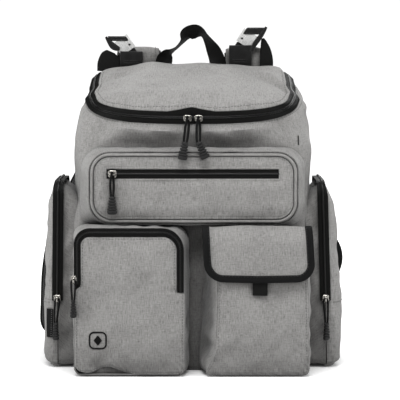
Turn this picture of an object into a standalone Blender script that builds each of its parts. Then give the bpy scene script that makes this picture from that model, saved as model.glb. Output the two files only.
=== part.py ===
"""Top-loading nappy (diaper) backpack: sewn fabric panels, zips with cord pulls, front, side and
flap pockets, a webbing carry handle, padded shoulder straps and two buckled stroller straps.

Units are metres and +Z is up. The bag's front faces -Y, "left" is -X and "right" is +X, and the
origin is the middle of the base on the ground. Flat pieces are drawn as (x, z) outlines.
Every moving piece is parented to an empty on its joint, named with the ending _axis.
"""

import math
from types import SimpleNamespace

import bmesh
import bpy
from mathutils import Matrix, Vector

# ---------------------------------------------------------------- shared dimensions
GAP = 0.0003  # clearance left between sewn neighbours
SHELL_FABRIC = 0.0028  # laminated fabric of the body and lid, with its backing foam
GUSSET_FABRIC = 0.0022
FACE_FABRIC = 0.0026  # faces and flap of the lower front pockets
FOLD_GAP = 0.0006  # left on each side of a line where an opening panel folds

FRONT_Y = -0.085  # outer face of the main compartment's front
BACK_Y = 0.085  # where the back panel starts
BACK_SEAM_Y = 0.0905  # where handles and straps leave the back

TAPE_W = 0.0074  # one half of the main zip's tape
TAPE_T = 0.0012
WEBBING_W = 0.025
WEBBING_T = 0.0016

# ---------------------------------------------------------------- scene and materials
for old in list(bpy.data.objects):
    bpy.data.objects.remove(old, do_unlink=True)


def collection(name):
    made = bpy.data.collections.new(name)
    bpy.context.scene.collection.children.link(made)
    return made


PARTS = collection("diaper_backpack")
CUTTERS = collection("cutters")


def material(name, rgb, roughness, metallic=0.0):
    mat = bpy.data.materials.new(name)
    mat.use_nodes = True
    shader = mat.node_tree.nodes["Principled BSDF"]
    shader.inputs["Base Color"].default_value = (*rgb, 1.0)
    shader.inputs["Roughness"].default_value = roughness
    shader.inputs["Metallic"].default_value = metallic
    mat.diffuse_color = (*rgb, 1.0)
    return mat


GREY = material("heather_grey_polyester", rgb=(0.36, 0.355, 0.35), roughness=0.9)
LINING = material("lining_polyester", rgb=(0.12, 0.12, 0.13), roughness=0.75)
MESH = material("spacer_mesh", rgb=(0.03, 0.03, 0.03), roughness=0.9)
TAPE = material("black_zip_tape", rgb=(0.012, 0.012, 0.011), roughness=0.65)
WEBBING = material("black_webbing", rgb=(0.014, 0.014, 0.014), roughness=0.7)
NICKEL = material("nickel_plated_zinc", rgb=(0.62, 0.61, 0.58), roughness=0.25, metallic=1.0)
RUBBER = material("black_rubber", rgb=(0.03, 0.03, 0.03), roughness=0.6)
PLASTIC = material("black_acetal", rgb=(0.015, 0.015, 0.015), roughness=0.42)


# ---------------------------------------------------------------- object helpers
def move_to(obj, target):
    for current in list(obj.users_collection):
        current.objects.unlink(obj)
    target.objects.link(obj)


def make_cutter(obj):
    """Keeps obj as a helper that only booleans use."""
    move_to(obj, CUTTERS)
    obj.hide_render = True
    obj.display_type = "WIRE"


def add_object(name, data, mat):
    obj = bpy.data.objects.new(name, data)
    PARTS.objects.link(obj)
    data.materials.append(mat)
    return obj


def add_bmesh(name, bm, mat):
    mesh = bpy.data.meshes.new(name)
    bm.to_mesh(mesh)
    bm.free()
    return add_object(name, mesh, mat)


def bake(obj):
    """Applies the object's modifiers, welds it, and turns its faces outwards. A curve is replaced
    by a mesh object of the same name."""
    bpy.context.view_layer.update()
    graph = bpy.context.evaluated_depsgraph_get()
    mesh = bpy.data.meshes.new_from_object(obj.evaluated_get(graph))
    if obj.type == "CURVE":
        name, world, mat = obj.name, obj.matrix_world.copy(), obj.data.materials[0]
        bpy.data.objects.remove(obj, do_unlink=True)
        obj = bpy.data.objects.new(name, mesh)
        PARTS.objects.link(obj)
        obj.matrix_world = world
        if not mesh.materials:
            mesh.materials.append(mat)
    else:
        obj.modifiers.clear()
        obj.data = mesh
    bm = bmesh.new()
    bm.from_mesh(mesh)
    bmesh.ops.remove_doubles(bm, verts=bm.verts, dist=2e-6)
    bmesh.ops.recalc_face_normals(bm, faces=bm.faces)
    if bm.calc_volume(signed=True) < 0:
        bmesh.ops.reverse_faces(bm, faces=bm.faces)
    bm.to_mesh(mesh)
    bm.free()
    return obj


def boolean(obj, other, operation, keep=False):
    """Combines obj with other, which is then removed unless keep is set."""
    mod = obj.modifiers.new(operation.lower(), "BOOLEAN")
    mod.operation = operation
    mod.solver = "EXACT"
    mod.object = other
    obj = bake(obj)
    if not keep:
        bpy.data.objects.remove(other, do_unlink=True)
    return obj


def smooth(obj):
    obj.data.shade_smooth()
    obj.data.set_sharp_from_angle(angle=math.radians(35))
    return obj


PIVOTS = {}  # joint name: (empty, world position)


def pivot(name, at, parent=None):
    """An empty on a joint's axis, which the moving pieces are parented to."""
    empty = bpy.data.objects.new(name + "_axis", None)
    empty.empty_display_size = 0.01
    PARTS.objects.link(empty)
    empty.location = at
    if parent:
        empty.parent, parent_at = PIVOTS[parent]
        empty.location = Vector(at) - parent_at
    PIVOTS[name] = (empty, Vector(at))


def hang(obj, name):
    """Parents obj to a pivot and moves its origin there, leaving its shape where it is."""
    empty, at = PIVOTS[name]
    obj.data.transform(obj.matrix_world)
    obj.data.transform(Matrix.Translation(-at))
    obj.matrix_world = Matrix.Identity(4)
    obj.parent = empty
    obj.location = (0, 0, 0)


# ---------------------------------------------------------------- shape helpers
def box(name, low, high, mat, bevel=0.0, segments=2):
    bpy.ops.mesh.primitive_cube_add(size=1.0)
    obj = bpy.context.active_object
    obj.name = name
    move_to(obj, PARTS)
    size = [b - a for a, b in zip(low, high)]
    obj.data.transform(Matrix.Diagonal((*size, 1.0)))
    obj.data.transform(Matrix.Translation([(a + b) / 2 for a, b in zip(low, high)]))
    obj.data.materials.append(mat)
    if bevel:
        mod = obj.modifiers.new("bevel", "BEVEL")
        mod.width, mod.segments = bevel, segments
    return bake(obj)


def plate(name, outlines, thick, mat, front_y):
    """A flat piece in the XZ plane, its thickness running back from front_y towards +Y. Outlines
    inside the first one are holes."""
    curve = bpy.data.curves.new(name, "CURVE")
    curve.dimensions, curve.fill_mode, curve.extrude = "2D", "BOTH", thick / 2
    for outline in outlines:
        spline = curve.splines.new("POLY")
        spline.points.add(len(outline) - 1)
        for point, (x, z) in zip(spline.points, outline):
            point.co = (x, z, 0, 1)
        spline.use_cyclic_u = True
    obj = add_object(name, curve, mat)
    upright = Matrix.Rotation(math.pi / 2, 4, "X")
    obj.matrix_world = Matrix.Translation((0, front_y + thick / 2, 0)) @ upright
    return bake(obj)


def tube(name, points, radius, mat, closed=False):
    curve = bpy.data.curves.new(name, "CURVE")
    curve.dimensions, curve.bevel_depth, curve.bevel_resolution = "3D", radius, 1
    curve.use_fill_caps = True
    spline = curve.splines.new("POLY")
    spline.points.add(len(points) - 1)
    for point, co in zip(spline.points, points):
        point.co = (*co, 1)
    spline.use_cyclic_u = closed
    return bake(add_object(name, curve, mat))


def turned(name, profile, mat, steps):
    """A profile of (radius, z), top to bottom, turned about Z."""
    bm = bmesh.new()
    verts = [bm.verts.new((radius, 0, z)) for radius, z in profile]
    for a, b in zip(verts, verts[1:]):
        bm.edges.new((a, b))
    obj = add_bmesh(name, bm, mat)
    mod = obj.modifiers.new("screw", "SCREW")
    mod.steps = mod.render_steps = steps
    mod.use_merge_vertices, mod.merge_threshold = True, 0.00005
    return bake(obj)


def extrude_rows(bm, wire, edges, rows):
    """Extrudes the wire's edges through each row of points; returns the last row's vertices."""
    for row in rows:
        made = bmesh.ops.extrude_edge_only(bm, edges=edges)["geom"]
        fresh = {g for g in made if isinstance(g, bmesh.types.BMVert)}
        wire = [
            next(e.other_vert(v) for e in v.link_edges if e.other_vert(v) in fresh) for v in wire
        ]
        for vert, point in zip(wire, row):
            vert.co = point
        edges = [
            g
            for g in made
            if isinstance(g, bmesh.types.BMEdge) and g.verts[0] in fresh and g.verts[1] in fresh
        ]
    return wire


def shell(name, rows, thick, mat, offset=-1.0, closed=False, inside=None, fold_last=False):
    """An open surface swept through rows of points and thickened. Its outside faces away from the
    point inside. closed joins each row's ends; fold_last joins the last row's two halves."""
    bm = bmesh.new()
    wire = [bm.verts.new(p) for p in rows[0]]
    edges = [bm.edges.new((a, b)) for a, b in zip(wire, wire[1:])]
    if closed:
        edges.append(bm.edges.new((wire[-1], wire[0])))
    wire = extrude_rows(bm, wire, edges, rows[1:])
    if fold_last:  # a middle point, where there is one, makes the last face a triangle
        count = len(wire)
        for i in range((count - 1) // 2):
            corners = [wire[i], wire[i + 1], wire[count - 2 - i], wire[count - 1 - i]]
            bm.faces.new(list(dict.fromkeys(corners)))
    bmesh.ops.recalc_face_normals(bm, faces=bm.faces)
    if inside is not None:
        middle = Vector(inside)
        away = sum(f.normal.dot(f.calc_center_median() - middle) * f.calc_area() for f in bm.faces)
        if away < 0:
            bmesh.ops.reverse_faces(bm, faces=bm.faces)
    obj = add_bmesh(name, bm, mat)
    mod = obj.modifiers.new("thickness", "SOLIDIFY")
    mod.thickness, mod.offset = thick, offset
    mod.use_even_offset = True
    return bake(obj)


def solid(name, rows):
    """Grey rows of points joined to each other and closed at both ends."""
    bm = bmesh.new()
    wire = [bm.verts.new(p) for p in rows[0]]
    first = bm.faces.new(wire)
    bm.faces.new(extrude_rows(bm, wire, list(first.edges), rows[1:]))
    return bake(add_bmesh(name, bm, GREY))


def ribbon(name, path, thick, mat, across=1):
    """path holds (x, y, z, width, wx, wy, wz): a centre line, a width, and the direction the
    width runs. across is the number of faces over the width."""
    rows = [[] for _ in range(across + 1)]
    for x, y, z, width, wx, wy, wz in path:
        direction = Vector((wx, wy, wz)).normalized()
        for k in range(across + 1):
            rows[k].append(Vector((x, y, z)) + direction * width * (k / across - 0.5))
    return smooth(shell(name, rows, thick, mat, offset=0.0))


# ---------------------------------------------------------------- outline helpers
def interpolate(table, at):
    """Linear interpolation in a table of (position, value)."""
    for (z0, a0), (z1, a1) in zip(table, table[1:]):
        if at <= z1:
            return a0 + (a1 - a0) * max(0.0, at - z0) / (z1 - z0)
    return table[-1][1]


def arc(x, z, radius, start, turn, seg):
    """Points round a centre, from the angle start through turn, both in degrees."""
    angles = [math.radians(start + turn * i / seg) for i in range(seg + 1)]
    return [(x + radius * math.cos(a), z + radius * math.sin(a)) for a in angles]


def round_rect(x0, x1, z0, z1, radii, seg):
    """Anticlockwise points; radii run bottom-left, bottom-right, top-right, top-left."""
    out = []
    corners = [(x0, z0, 1, 1, 180), (x1, z0, -1, 1, 270), (x1, z1, -1, -1, 0), (x0, z1, 1, -1, 90)]
    for (x, z, inward_x, inward_z, start), radius in zip(corners, radii):
        if radius <= 0:
            out.append((x, z))
        else:
            out += arc(x + inward_x * radius, z + inward_z * radius, radius, start, 90, seg)
    return out


def round_poly(points, radii, seg):
    """A polygon of (x, z) corners, each rounded by a fillet of its own radius."""
    out = []
    for i, (point, radius) in enumerate(zip(points, radii)):
        corner = Vector(point)
        if radius <= 0:
            out.append(tuple(corner))
            continue
        to_last = (Vector(points[i - 1]) - corner).normalized()
        to_next = (Vector(points[(i + 1) % len(points)]) - corner).normalized()
        half = math.acos(max(-1.0, min(1.0, to_last.dot(to_next)))) / 2
        back = radius / math.tan(half)
        centre = corner + (to_last + to_next).normalized() * (radius / math.sin(half))
        start, end = corner + to_last * back - centre, corner + to_next * back - centre
        angle = math.atan2(start.y, start.x)
        turn = (math.atan2(end.y, end.x) - angle + math.pi) % (2 * math.pi) - math.pi
        for k in range(seg + 1):
            a = angle + turn * k / seg
            out.append((centre.x + radius * math.cos(a), centre.y + radius * math.sin(a)))
    return out


def u_plan(half_w, back_half_w, front, back, squareness, steps=20, out=0.0):
    """A U in (x, y), open at the back: its front half is a superellipse, and its sides run
    straight to the back. out moves the front and sides outwards."""
    side = 3  # points along each straight side
    across, deep = half_w + out, -front + out
    points = [
        (-(back_half_w + out) + (back_half_w - half_w) * k / side, back * (1 - k / side))
        for k in range(side)
    ]
    power = 2 / squareness
    for i in range(steps + 1):
        t = math.pi + math.pi * i / steps
        c, s = math.cos(t), math.sin(t)
        x = math.copysign(abs(c) ** power, c) * across
        points.append((x, math.copysign(abs(s) ** power, s) * deep))
    return points + [(-x, y) for x, y in reversed(points[:side])]


def catmull(points, per):
    """A smooth curve through the given tuples of numbers, with per steps between neighbours."""
    out = []
    last = len(points) - 1
    for i in range(last):
        near = [points[max(0, min(last, k))] for k in (i - 1, i, i + 1, i + 2)]
        for step in range(per):
            t = step / per
            blended = (
                0.5
                * (
                    2 * b
                    + (c - a) * t
                    + (2 * a - 5 * b + 4 * c - d) * t * t
                    + (3 * b - a - 3 * c + d) * t**3
                )
                for a, b, c, d in zip(*near)
            )
            out.append(tuple(blended))
    return out + [tuple(points[-1])]


# ---------------------------------------------------------------- main zip's path
LID_FRONT_Z = 0.352  # the main zip's height at the front
LID_SLOPE = 0.33  # the main zip rises towards the back by this much per metre
ZIP_HALF_W = 0.1495  # half width of the U that the main zip follows
ZIP_BACK_HALF_W = 0.1445
ZIP_SQUARENESS = 2.9  # how square the zip's front corners are
ZIP_STEPS = 22


def zip_z(y):
    """Height of the main zip's centre line at depth y."""
    return LID_FRONT_Z + LID_SLOPE * (y - FRONT_Y)


def zip_plan(back, out=0.0):
    front = FRONT_Y - GAP
    return u_plan(ZIP_HALF_W, ZIP_BACK_HALF_W, front, back, ZIP_SQUARENESS, ZIP_STEPS, out)


# ---------------------------------------------------------------- main compartment
# (z, half width) and (z, squareness of the front corners)
BODY_HALF_W = [
    (0.0, 0.162), (0.10, 0.1670), (0.22, 0.1665), (0.30, 0.1620),
    (0.345, 0.1545), (0.352, 0.1500), (0.43, 0.1460),
]
BODY_SQUARENESS = [(0.0, 6.0), (0.28, 5.2), (0.345, 3.4), (0.352, 3.0), (0.43, 2.9)]
BODY_LEVELS = (0.0033, 0.06, 0.14, 0.22, 0.28, 0.315, 0.345, 0.43)
BODY_BACK_TAPER = 0.004  # the half width lost towards the back
BACK_PANEL_INSET = 0.0045
BACK_PANEL_T = 0.0032
BACK_PANEL_SIDE_TOP = 0.385
BACK_PANEL_TOP = [(0.138, 0.400), (0.120, 0.4085), (0.08, 0.4125), (0.04, 0.4140)]  # x, z
BASE_T = 0.0030
LINING_T = 0.0009
LINING_INSET = 0.0036
LINING_BACK_Y = 0.0835
LINING_FLOOR_Z = 0.0045
LINING_LEVELS = (0.0033, 0.14, 0.28, 0.345, 0.43)
LINING_DROP = 0.004  # the lining's rim is this far below the fabric's


def body_plan(z, out=0.0, back=BACK_Y, steps=20):
    half_w = interpolate(BODY_HALF_W, z)
    squareness = interpolate(BODY_SQUARENESS, z)
    path = u_plan(half_w, half_w - BODY_BACK_TAPER, FRONT_Y, back, squareness, steps, out)
    return [(x, y, z) for x, y in path]


def rim_cutter():
    """A block whose lower face slopes with the main zip, just below the zip's tape."""
    cutter = box("cut_wrap", (-0.3, -0.3, 0.0), (0.3, 0.3, 0.3), GREY)
    make_cutter(cutter)
    at = Matrix.Translation((0, FRONT_Y, LID_FRONT_Z - TAPE_W - 0.0008))
    cutter.matrix_world = at @ Matrix.Rotation(math.atan(LID_SLOPE), 4, "X")
    return cutter


def body_wrap(cutter):
    rows = [body_plan(z) for z in BODY_LEVELS]
    wrap = shell("body_wrap", rows, SHELL_FABRIC, GREY, inside=(0, 0.02, 0.2))
    smooth(boolean(wrap, cutter, "DIFFERENCE", keep=True))


def body_cutter():
    """The block that the pockets sewn to the body are cut to."""
    block = solid("cut_body", [body_plan(z, GAP, 0.12) for z in (-0.02, *BODY_LEVELS)])
    make_cutter(block)
    return block


def back_panel():
    levels = (*BODY_LEVELS[:-1], BACK_PANEL_SIDE_TOP)
    half = [(interpolate(BODY_HALF_W, z) - BACK_PANEL_INSET, z) for z in levels] + BACK_PANEL_TOP
    outline = half + [(-x, z) for x, z in reversed(half)]
    plate("back_panel", [outline], BACK_PANEL_T, MESH, BACK_Y + GAP)


def bottom_panel():
    path = u_plan(0.1585, 0.1545, FRONT_Y + 0.0012, BACK_Y - 0.001, 6.0)
    solid("bottom_panel", [[(x, y, z) for x, y in path] for z in (0.0, BASE_T)])


def lining(cutter):
    """A thin open bag inside the fabric."""
    rows = [
        [(x, y, max(z, LINING_FLOOR_Z)) for x, y, _ in body_plan(z, -LINING_INSET, LINING_BACK_Y, 14)]
        for z in LINING_LEVELS
    ]
    bm = bmesh.new()
    wire = [bm.verts.new(p) for p in rows[0]]
    floor = bm.faces.new(wire)
    extrude_rows(bm, wire, list(floor.edges), rows[1:])
    bmesh.ops.recalc_face_normals(bm, faces=bm.faces)
    bag = add_bmesh("lining", bm, LINING)
    mod = bag.modifiers.new("thickness", "SOLIDIFY")
    mod.thickness, mod.offset = LINING_T, 0.0
    bag = bake(bag)
    cutter.location.z -= LINING_DROP
    smooth(boolean(bag, cutter, "DIFFERENCE"))


rim = rim_cutter()
body_wrap(rim)
BODY_BLOCK = body_cutter()
back_panel()
bottom_panel()
lining(rim)

# ---------------------------------------------------------------- main zip and lid
LID_AXIS = (0, 0.0785, 0.4195)  # on the line the lid folds back about
ZIP_BACK_Y = 0.0770
LID_BACK_Y = 0.0775
LID_OVERHANG = 0.0010
LID_CROWN = 0.016  # height of the lid's middle over its rim
LID_CROWN_LOSS = 0.36  # share of the crown lost by the depth LID_DEPTH
LID_DEPTH = 0.08
LID_RINGS = (1.0, 0.985, 0.95, 0.88, 0.76, 0.60, 0.42, 0.24, 0.10)  # scales, rim to middle


def zip_wall(name, low, high):
    """One half of the main zip's tape, standing along the U from low to high over the zip line."""
    rows = [[(x, y, zip_z(y) + h) for x, y in zip_plan(ZIP_BACK_Y)] for h in (low, high)]
    return smooth(shell(name, rows, TAPE_T, TAPE, offset=1.0, inside=(0, 0.02, 0.38)))


def lid_height(x, y):
    """Height of the lid's fabric over the zip: a low crown that falls to the rim."""
    front_part = (abs(min(y, 0.0)) / -FRONT_Y) ** ZIP_SQUARENESS
    half_w = ZIP_HALF_W + (ZIP_BACK_HALF_W - ZIP_HALF_W) * max(0.0, y) / LID_DEPTH
    rho = ((abs(x) / half_w) ** ZIP_SQUARENESS + front_part) ** (1 / ZIP_SQUARENESS)
    crown = 1.0 if y < 0 else 1.0 - LID_CROWN_LOSS * (y / LID_DEPTH) ** 1.5
    return TAPE_W + 0.0006 + LID_CROWN * crown * max(0.0, 1 - rho**2.5) ** 0.6


def lid_panel():
    rings = []
    for scale in LID_RINGS:
        ring = []
        for x, y in zip_plan(LID_BACK_Y, LID_OVERHANG):
            x = x * scale
            if y < 0:
                y = y * scale
            # the divisors bring the overhanging rim back to about the zip's own plan
            ring.append((x, y, zip_z(y) + lid_height(x / 1.007, y / 1.012)))
        rings.append(ring)
    return smooth(
        shell(
            "lid_panel", rings, SHELL_FABRIC, GREY, offset=1.0, inside=(0, 0, 0.3), fold_last=True
        )
    )


zip_wall("body_zip_tape", -TAPE_W - 0.0004, -0.0004)
pivot("lid", LID_AXIS)
hang(zip_wall("lid_zip_tape", 0.0002, TAPE_W), "lid")
hang(lid_panel(), "lid")

# ---------------------------------------------------------------- zip sliders and cord pulls
SLIDER_LEN = 0.0105
SLIDER_T = 0.0022
BAIL_R = 0.0008
BAIL_REACH = 0.0040  # from the slider's middle to each foot of the bail
BAIL_TOP = 0.0062  # distance of the bail's top wire from the zip
UNDER_BAIL = 0.0038  # distance of the cord from the zip as it passes under the bail
CORD_R = 0.0011
CORD_HALF_GAP = 0.0023  # half the distance between the two strands
CORD_END_HALF_GAP = 0.0013  # the same where they enter the grip

# the cord's loop as (x, y, z) from the zip's face: through the bail from side to side on a slider
# along Z, and under the bail and back over it on a slider along X
HALF_LOOP_Z = [(-0.0030, -0.0046, -0.006), (-0.0028, -0.0040, -0.0022), (-0.0016, -0.0038, -0.0004)]
CORD_LOOPS = {
    "Z": [
        *HALF_LOOP_Z,
        (0, -UNDER_BAIL, 0),
        *[(-x, y, z) for x, y, z in reversed(HALF_LOOP_Z)],
    ],
    "X": [
        (-0.0016, -0.0094, -0.006), (-0.0010, -0.0094, -0.0026),
        (0, -0.0088, 0.0012), (0, -0.0062, 0.0026), (0, -0.0038, 0.0012),
        (0.0010, -0.0036, -0.0026), (0.0016, -0.0046, -0.006),
    ],
}

GRIP_LEN = 0.0245
GRIP_RIBS = 5
GRIP_TOP_R = 0.0044
GRIP_END_R = 0.0066
GRIP_GROOVE = 0.0011
GRIP_FLATTEN = 0.64
GRIP_OVERLAP = 0.0040  # how far the grip reaches up over the cord's end


def slider(name, at, along, width):
    """A cast slider on the face of a zip: a plate, and a bail that stands over it. at is on the
    zip's face, which looks to -Y; along is the way the slider runs, X or Z."""
    half_x, half_z = SLIDER_LEN / 2, width / 2
    if along == "Z":
        half_x, half_z = half_z, half_x
    low, high = (-half_x, -SLIDER_T, -half_z), (half_x, -GAP, half_z)
    body = box(name, low, high, NICKEL, bevel=0.0007, segments=1)
    half_arch = [(-BAIL_REACH, -0.0012), (-BAIL_REACH, -0.0048), (-BAIL_REACH * 0.62, -BAIL_TOP)]
    arch = half_arch + [(-run, y) for run, y in reversed(half_arch)]
    points = [(run, y, 0) if along == "X" else (0, y, run) for run, y in arch]
    body = boolean(body, tube(name + "_bail", points, BAIL_R, NICKEL), "UNION")
    body.data.transform(Matrix.Translation(at))
    return smooth(body)


def grip_profile():
    """(radius, z) of the ribbed grip, widening downwards from its top at z = 0."""
    profile = [(0.0, 0.0), (0.0034, -0.0002)]
    step = (GRIP_LEN - 0.0055) / GRIP_RIBS
    for i in range(GRIP_RIBS):
        z = -0.0012 - step * i
        rib = GRIP_TOP_R + (GRIP_END_R - GRIP_TOP_R) * (i + 0.5) / GRIP_RIBS
        groove = rib - GRIP_GROOVE
        profile += [(rib, z - 0.06 * step), (rib, z - 0.58 * step)]
        profile += [(groove, z - 0.68 * step), (groove, z - 0.94 * step)]
    profile += [(GRIP_END_R, -GRIP_LEN + 0.0045), (GRIP_END_R, -GRIP_LEN + 0.0018)]
    return profile + [(GRIP_END_R * 0.72, -GRIP_LEN), (0.0, -GRIP_LEN)]


def pull(name, at, along, drop, turn, lean, shift):
    """A looped cord with a ribbed rubber end, through the bail of a slider at at."""
    start, end = [], []
    for k, (y, z) in enumerate(drop, 1):
        is_last = k == len(drop)
        middle = shift * (k / len(drop))
        half_gap = CORD_END_HALF_GAP if is_last else CORD_HALF_GAP
        start.insert(0, (middle - half_gap, y if is_last else y - 0.0004, z))
        end.append((middle + half_gap, y, z))
    strand = tube(name, start + CORD_LOOPS[along] + end, CORD_R, RUBBER)
    grip = turned(name + "_grip", grip_profile(), RUBBER, steps=8)
    grip.data.transform(Matrix.Diagonal((1.0, GRIP_FLATTEN, 1.0, 1.0)))
    grip.data.transform(Matrix.Rotation(math.radians(turn), 4, "Z"))
    grip.data.transform(Matrix.Rotation(math.radians(lean), 4, "Y"))
    end_y, end_z = drop[-1]
    grip.data.transform(Matrix.Translation((shift, end_y, end_z + GRIP_OVERLAP)))
    strand = boolean(strand, grip, "UNION")
    strand.data.transform(Matrix.Translation(at))
    return smooth(strand)


def slider_and_pull(label, at, along, drop, width=0.0086, turn=0.0, lean=0.0, shift=0.0):
    """A slider with its pull. drop is the way the cord hangs, as (y, z) from at; turn and lean
    turn the grip about Z and Y in degrees, and shift moves it sideways."""
    at = Vector(at)
    slider_name, pull_name = label + "_slider", label + "_pull"
    pivot(slider_name, at)
    hang(slider(slider_name, at, along, width), slider_name)
    bail = UNDER_BAIL if along == "Z" else BAIL_TOP
    pivot(pull_name, at + Vector((0, -bail, 0)), slider_name)
    hang(pull(pull_name, at, along, drop, turn, lean, shift), pull_name)


def straight(length, depth=0.0066):
    """A cord that hangs straight down."""
    return [(-depth, -length * 0.55), (-depth, -length - 0.004)]


# the main zip's cords lie over the top of the upper pocket
OVER_LEDGE = [(-0.0120, -0.0125), (-0.0220, -0.0205), (-0.0320, -0.0270), (-0.0382, -0.0345)]
MAIN_SLIDER_Y = FRONT_Y - GAP - TAPE_T - GAP
MAIN_SLIDER_Z = LID_FRONT_Z - 0.0012
slider_and_pull(
    "main_left", (-0.0098, MAIN_SLIDER_Y, MAIN_SLIDER_Z), "X", OVER_LEDGE, shift=-0.0010
)
slider_and_pull(
    "main_right", (0.0084, MAIN_SLIDER_Y, MAIN_SLIDER_Z), "X", OVER_LEDGE, shift=0.0050, lean=-26
)


# ---------------------------------------------------------------- front pockets in common
def pocket_gusset(name, back_outline, front_outline, front_y, inside, closed=True):
    """A front pocket's side wall, from inside the body to front_y, cut to the body's front."""
    sections = ((-0.050, back_outline), (FRONT_Y - 0.004, back_outline), (front_y, front_outline))
    rows = [[(x, y, z) for x, z in outline] for y, outline in sections]
    gusset = shell(name, rows, GUSSET_FABRIC, GREY, closed=closed, inside=inside)
    smooth(boolean(gusset, BODY_BLOCK, "DIFFERENCE", keep=True))


# ---------------------------------------------------------------- upper front pocket
UPPER = SimpleNamespace(left=-0.1375, right=0.1435, bottom=0.208, top=0.307, corner=0.024)
UPPER_SLOT = SimpleNamespace(left=-0.116, right=0.118, bottom=0.2700, top=0.2825)
UPPER_FRONT_Y = -0.1145
UPPER_FACE_T = 0.0022
UPPER_ZIP_Y = UPPER_FRONT_Y - 0.0018
UPPER_ZIP_INSET = 0.0004
PIPING_R = 0.0017


def upper_slot_ring(inset, radius):
    slot = UPPER_SLOT
    x0, x1 = slot.left + inset, slot.right - inset
    return round_rect(x0, x1, slot.bottom + inset, slot.top - inset, (radius,) * 4, 2)


def upper_pocket():
    face_ring = round_rect(UPPER.left, UPPER.right, UPPER.bottom, UPPER.top, (UPPER.corner,) * 4, 5)
    back_ring = round_rect(-0.1560, 0.1570, 0.2060, 0.3150, (0.010, 0.010, 0.030, 0.030), 5)
    pocket_gusset("upper_pocket_gusset", back_ring, face_ring, UPPER_FRONT_Y, (0, -0.1, 0.26))
    face_y = UPPER_FRONT_Y - GAP - UPPER_FACE_T
    outlines = [face_ring, upper_slot_ring(0.0, 0.002)]
    plate("upper_pocket_face", outlines, UPPER_FACE_T, GREY, face_y)
    zip_ring = upper_slot_ring(UPPER_ZIP_INSET, 0.0016)
    plate("upper_pocket_zip", [zip_ring], TAPE_T, TAPE, UPPER_ZIP_Y)
    piping = [(x, face_y - PIPING_R - GAP, z) for x, z in face_ring]
    smooth(tube("upper_pocket_piping", piping, PIPING_R, GREY, closed=True))
    at = (-0.1085, UPPER_ZIP_Y - GAP - 0.0012, (UPPER_SLOT.bottom + UPPER_SLOT.top) / 2)
    slider_and_pull("upper", at, "X", straight(0.030), width=0.0094)


upper_pocket()

# ---------------------------------------------------------------- lower left zip pocket
LOWER_BOTTOM = 0.0015  # both lower pockets
LOWER_FRONT_Y = -0.1335
LOWER_FACE_Y = LOWER_FRONT_Y - GAP - FACE_FABRIC
LEFT = SimpleNamespace(left=-0.1605, right=-0.0110, top=0.2040, left_corner=0.022, right_corner=0.030)
LEFT_FOLD_Z = 0.1170  # the front folds down about this height
LEFT_TAPE_Y = LOWER_FRONT_Y - GAP - TAPE_T
SIDE_HALF = 0.0043  # width of one half of the tape at the sides
TOP_HALF = 0.0056  # and along the top
TAPE_SEAM = 0.0005  # between the two halves
FACE_SEAM = 0.0004  # between the tape and the face


def tape_band(x0, x1, top_z, left_corner, right_corner, left_end, right_end):
    """An upside-down U of tape in the XZ plane: its outer edge, then its inner edge back."""

    def edge(side, top):
        r_left, r_right = left_corner - side, right_corner - side
        return [
            (x0 + side, left_end),
            *arc(x0 + side + r_left, top_z - top - r_left, r_left, 180, -90, 5),
            *arc(x1 - side - r_right, top_z - top - r_right, r_right, 90, -90, 5),
            (x1 - side, right_end),
        ]

    return edge(0.0, 0.0) + edge(SIDE_HALF, TOP_HALF)[::-1]


def left_gusset():
    x0, x1, z0, z1 = LEFT.left, LEFT.right, LOWER_BOTTOM, LEFT.top
    front = round_rect(x0, x1, z0, z1, (0.010, 0.010, LEFT.right_corner, LEFT.left_corner), 5)
    back_radii = (0.008, 0.008, 0.022, 0.018)
    back = round_rect(x0 - 0.0005, x1 + 0.0065, z0, z1 - 0.0005, back_radii, 5)
    pocket_gusset("left_pocket_gusset", back, front, LOWER_FRONT_Y, (-0.085, -0.1, 0.1))


def left_tapes():
    outer = tape_band(
        LEFT.left, LEFT.right, LEFT.top, LEFT.left_corner, LEFT.right_corner, 0.1265, LEFT_FOLD_Z
    )
    plate("left_pocket_tape_outer", [outer], TAPE_T, TAPE, LEFT_TAPE_Y)
    side, top, end = SIDE_HALF + TAPE_SEAM, TOP_HALF + TAPE_SEAM, LEFT_FOLD_Z + FOLD_GAP
    inner = tape_band(
        LEFT.left + side, LEFT.right - side, LEFT.top - top, 0.0175, 0.0255, end, end
    )
    tape = plate("left_pocket_tape_inner", [inner], TAPE_T, TAPE, LEFT_TAPE_Y)
    hang(tape, "left_pocket_front")


def left_faces():
    side = 2 * SIDE_HALF + TAPE_SEAM + FACE_SEAM
    top = 2 * TOP_HALF + TAPE_SEAM + FACE_SEAM
    low = LEFT_FOLD_Z + FOLD_GAP
    radii = (0.0, 0.0, 0.0206, 0.0126)
    upper = round_rect(LEFT.left + side, LEFT.right - side, low, LEFT.top - top, radii, 5)
    face = plate("left_pocket_face_upper", [upper], FACE_FABRIC, GREY, LOWER_FACE_Y)
    hang(face, "left_pocket_front")
    x0, x1, z1 = LEFT.left + 0.0004, LEFT.right + 0.0016, LEFT_FOLD_Z - FOLD_GAP
    lower = round_rect(x0, x1, 0.0045, z1, (0.010, 0.010, 0.0, 0.0), 4)
    plate("left_pocket_face_lower", [lower], FACE_FABRIC, GREY, LOWER_FACE_Y)


def badge_patch():
    thick = 0.0012
    outline = round_rect(-0.140, -0.116, 0.039, 0.063, (0.005,) * 4, 3)
    plate("badge_patch", [outline], thick, RUBBER, LOWER_FACE_Y - GAP - thick)


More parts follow.
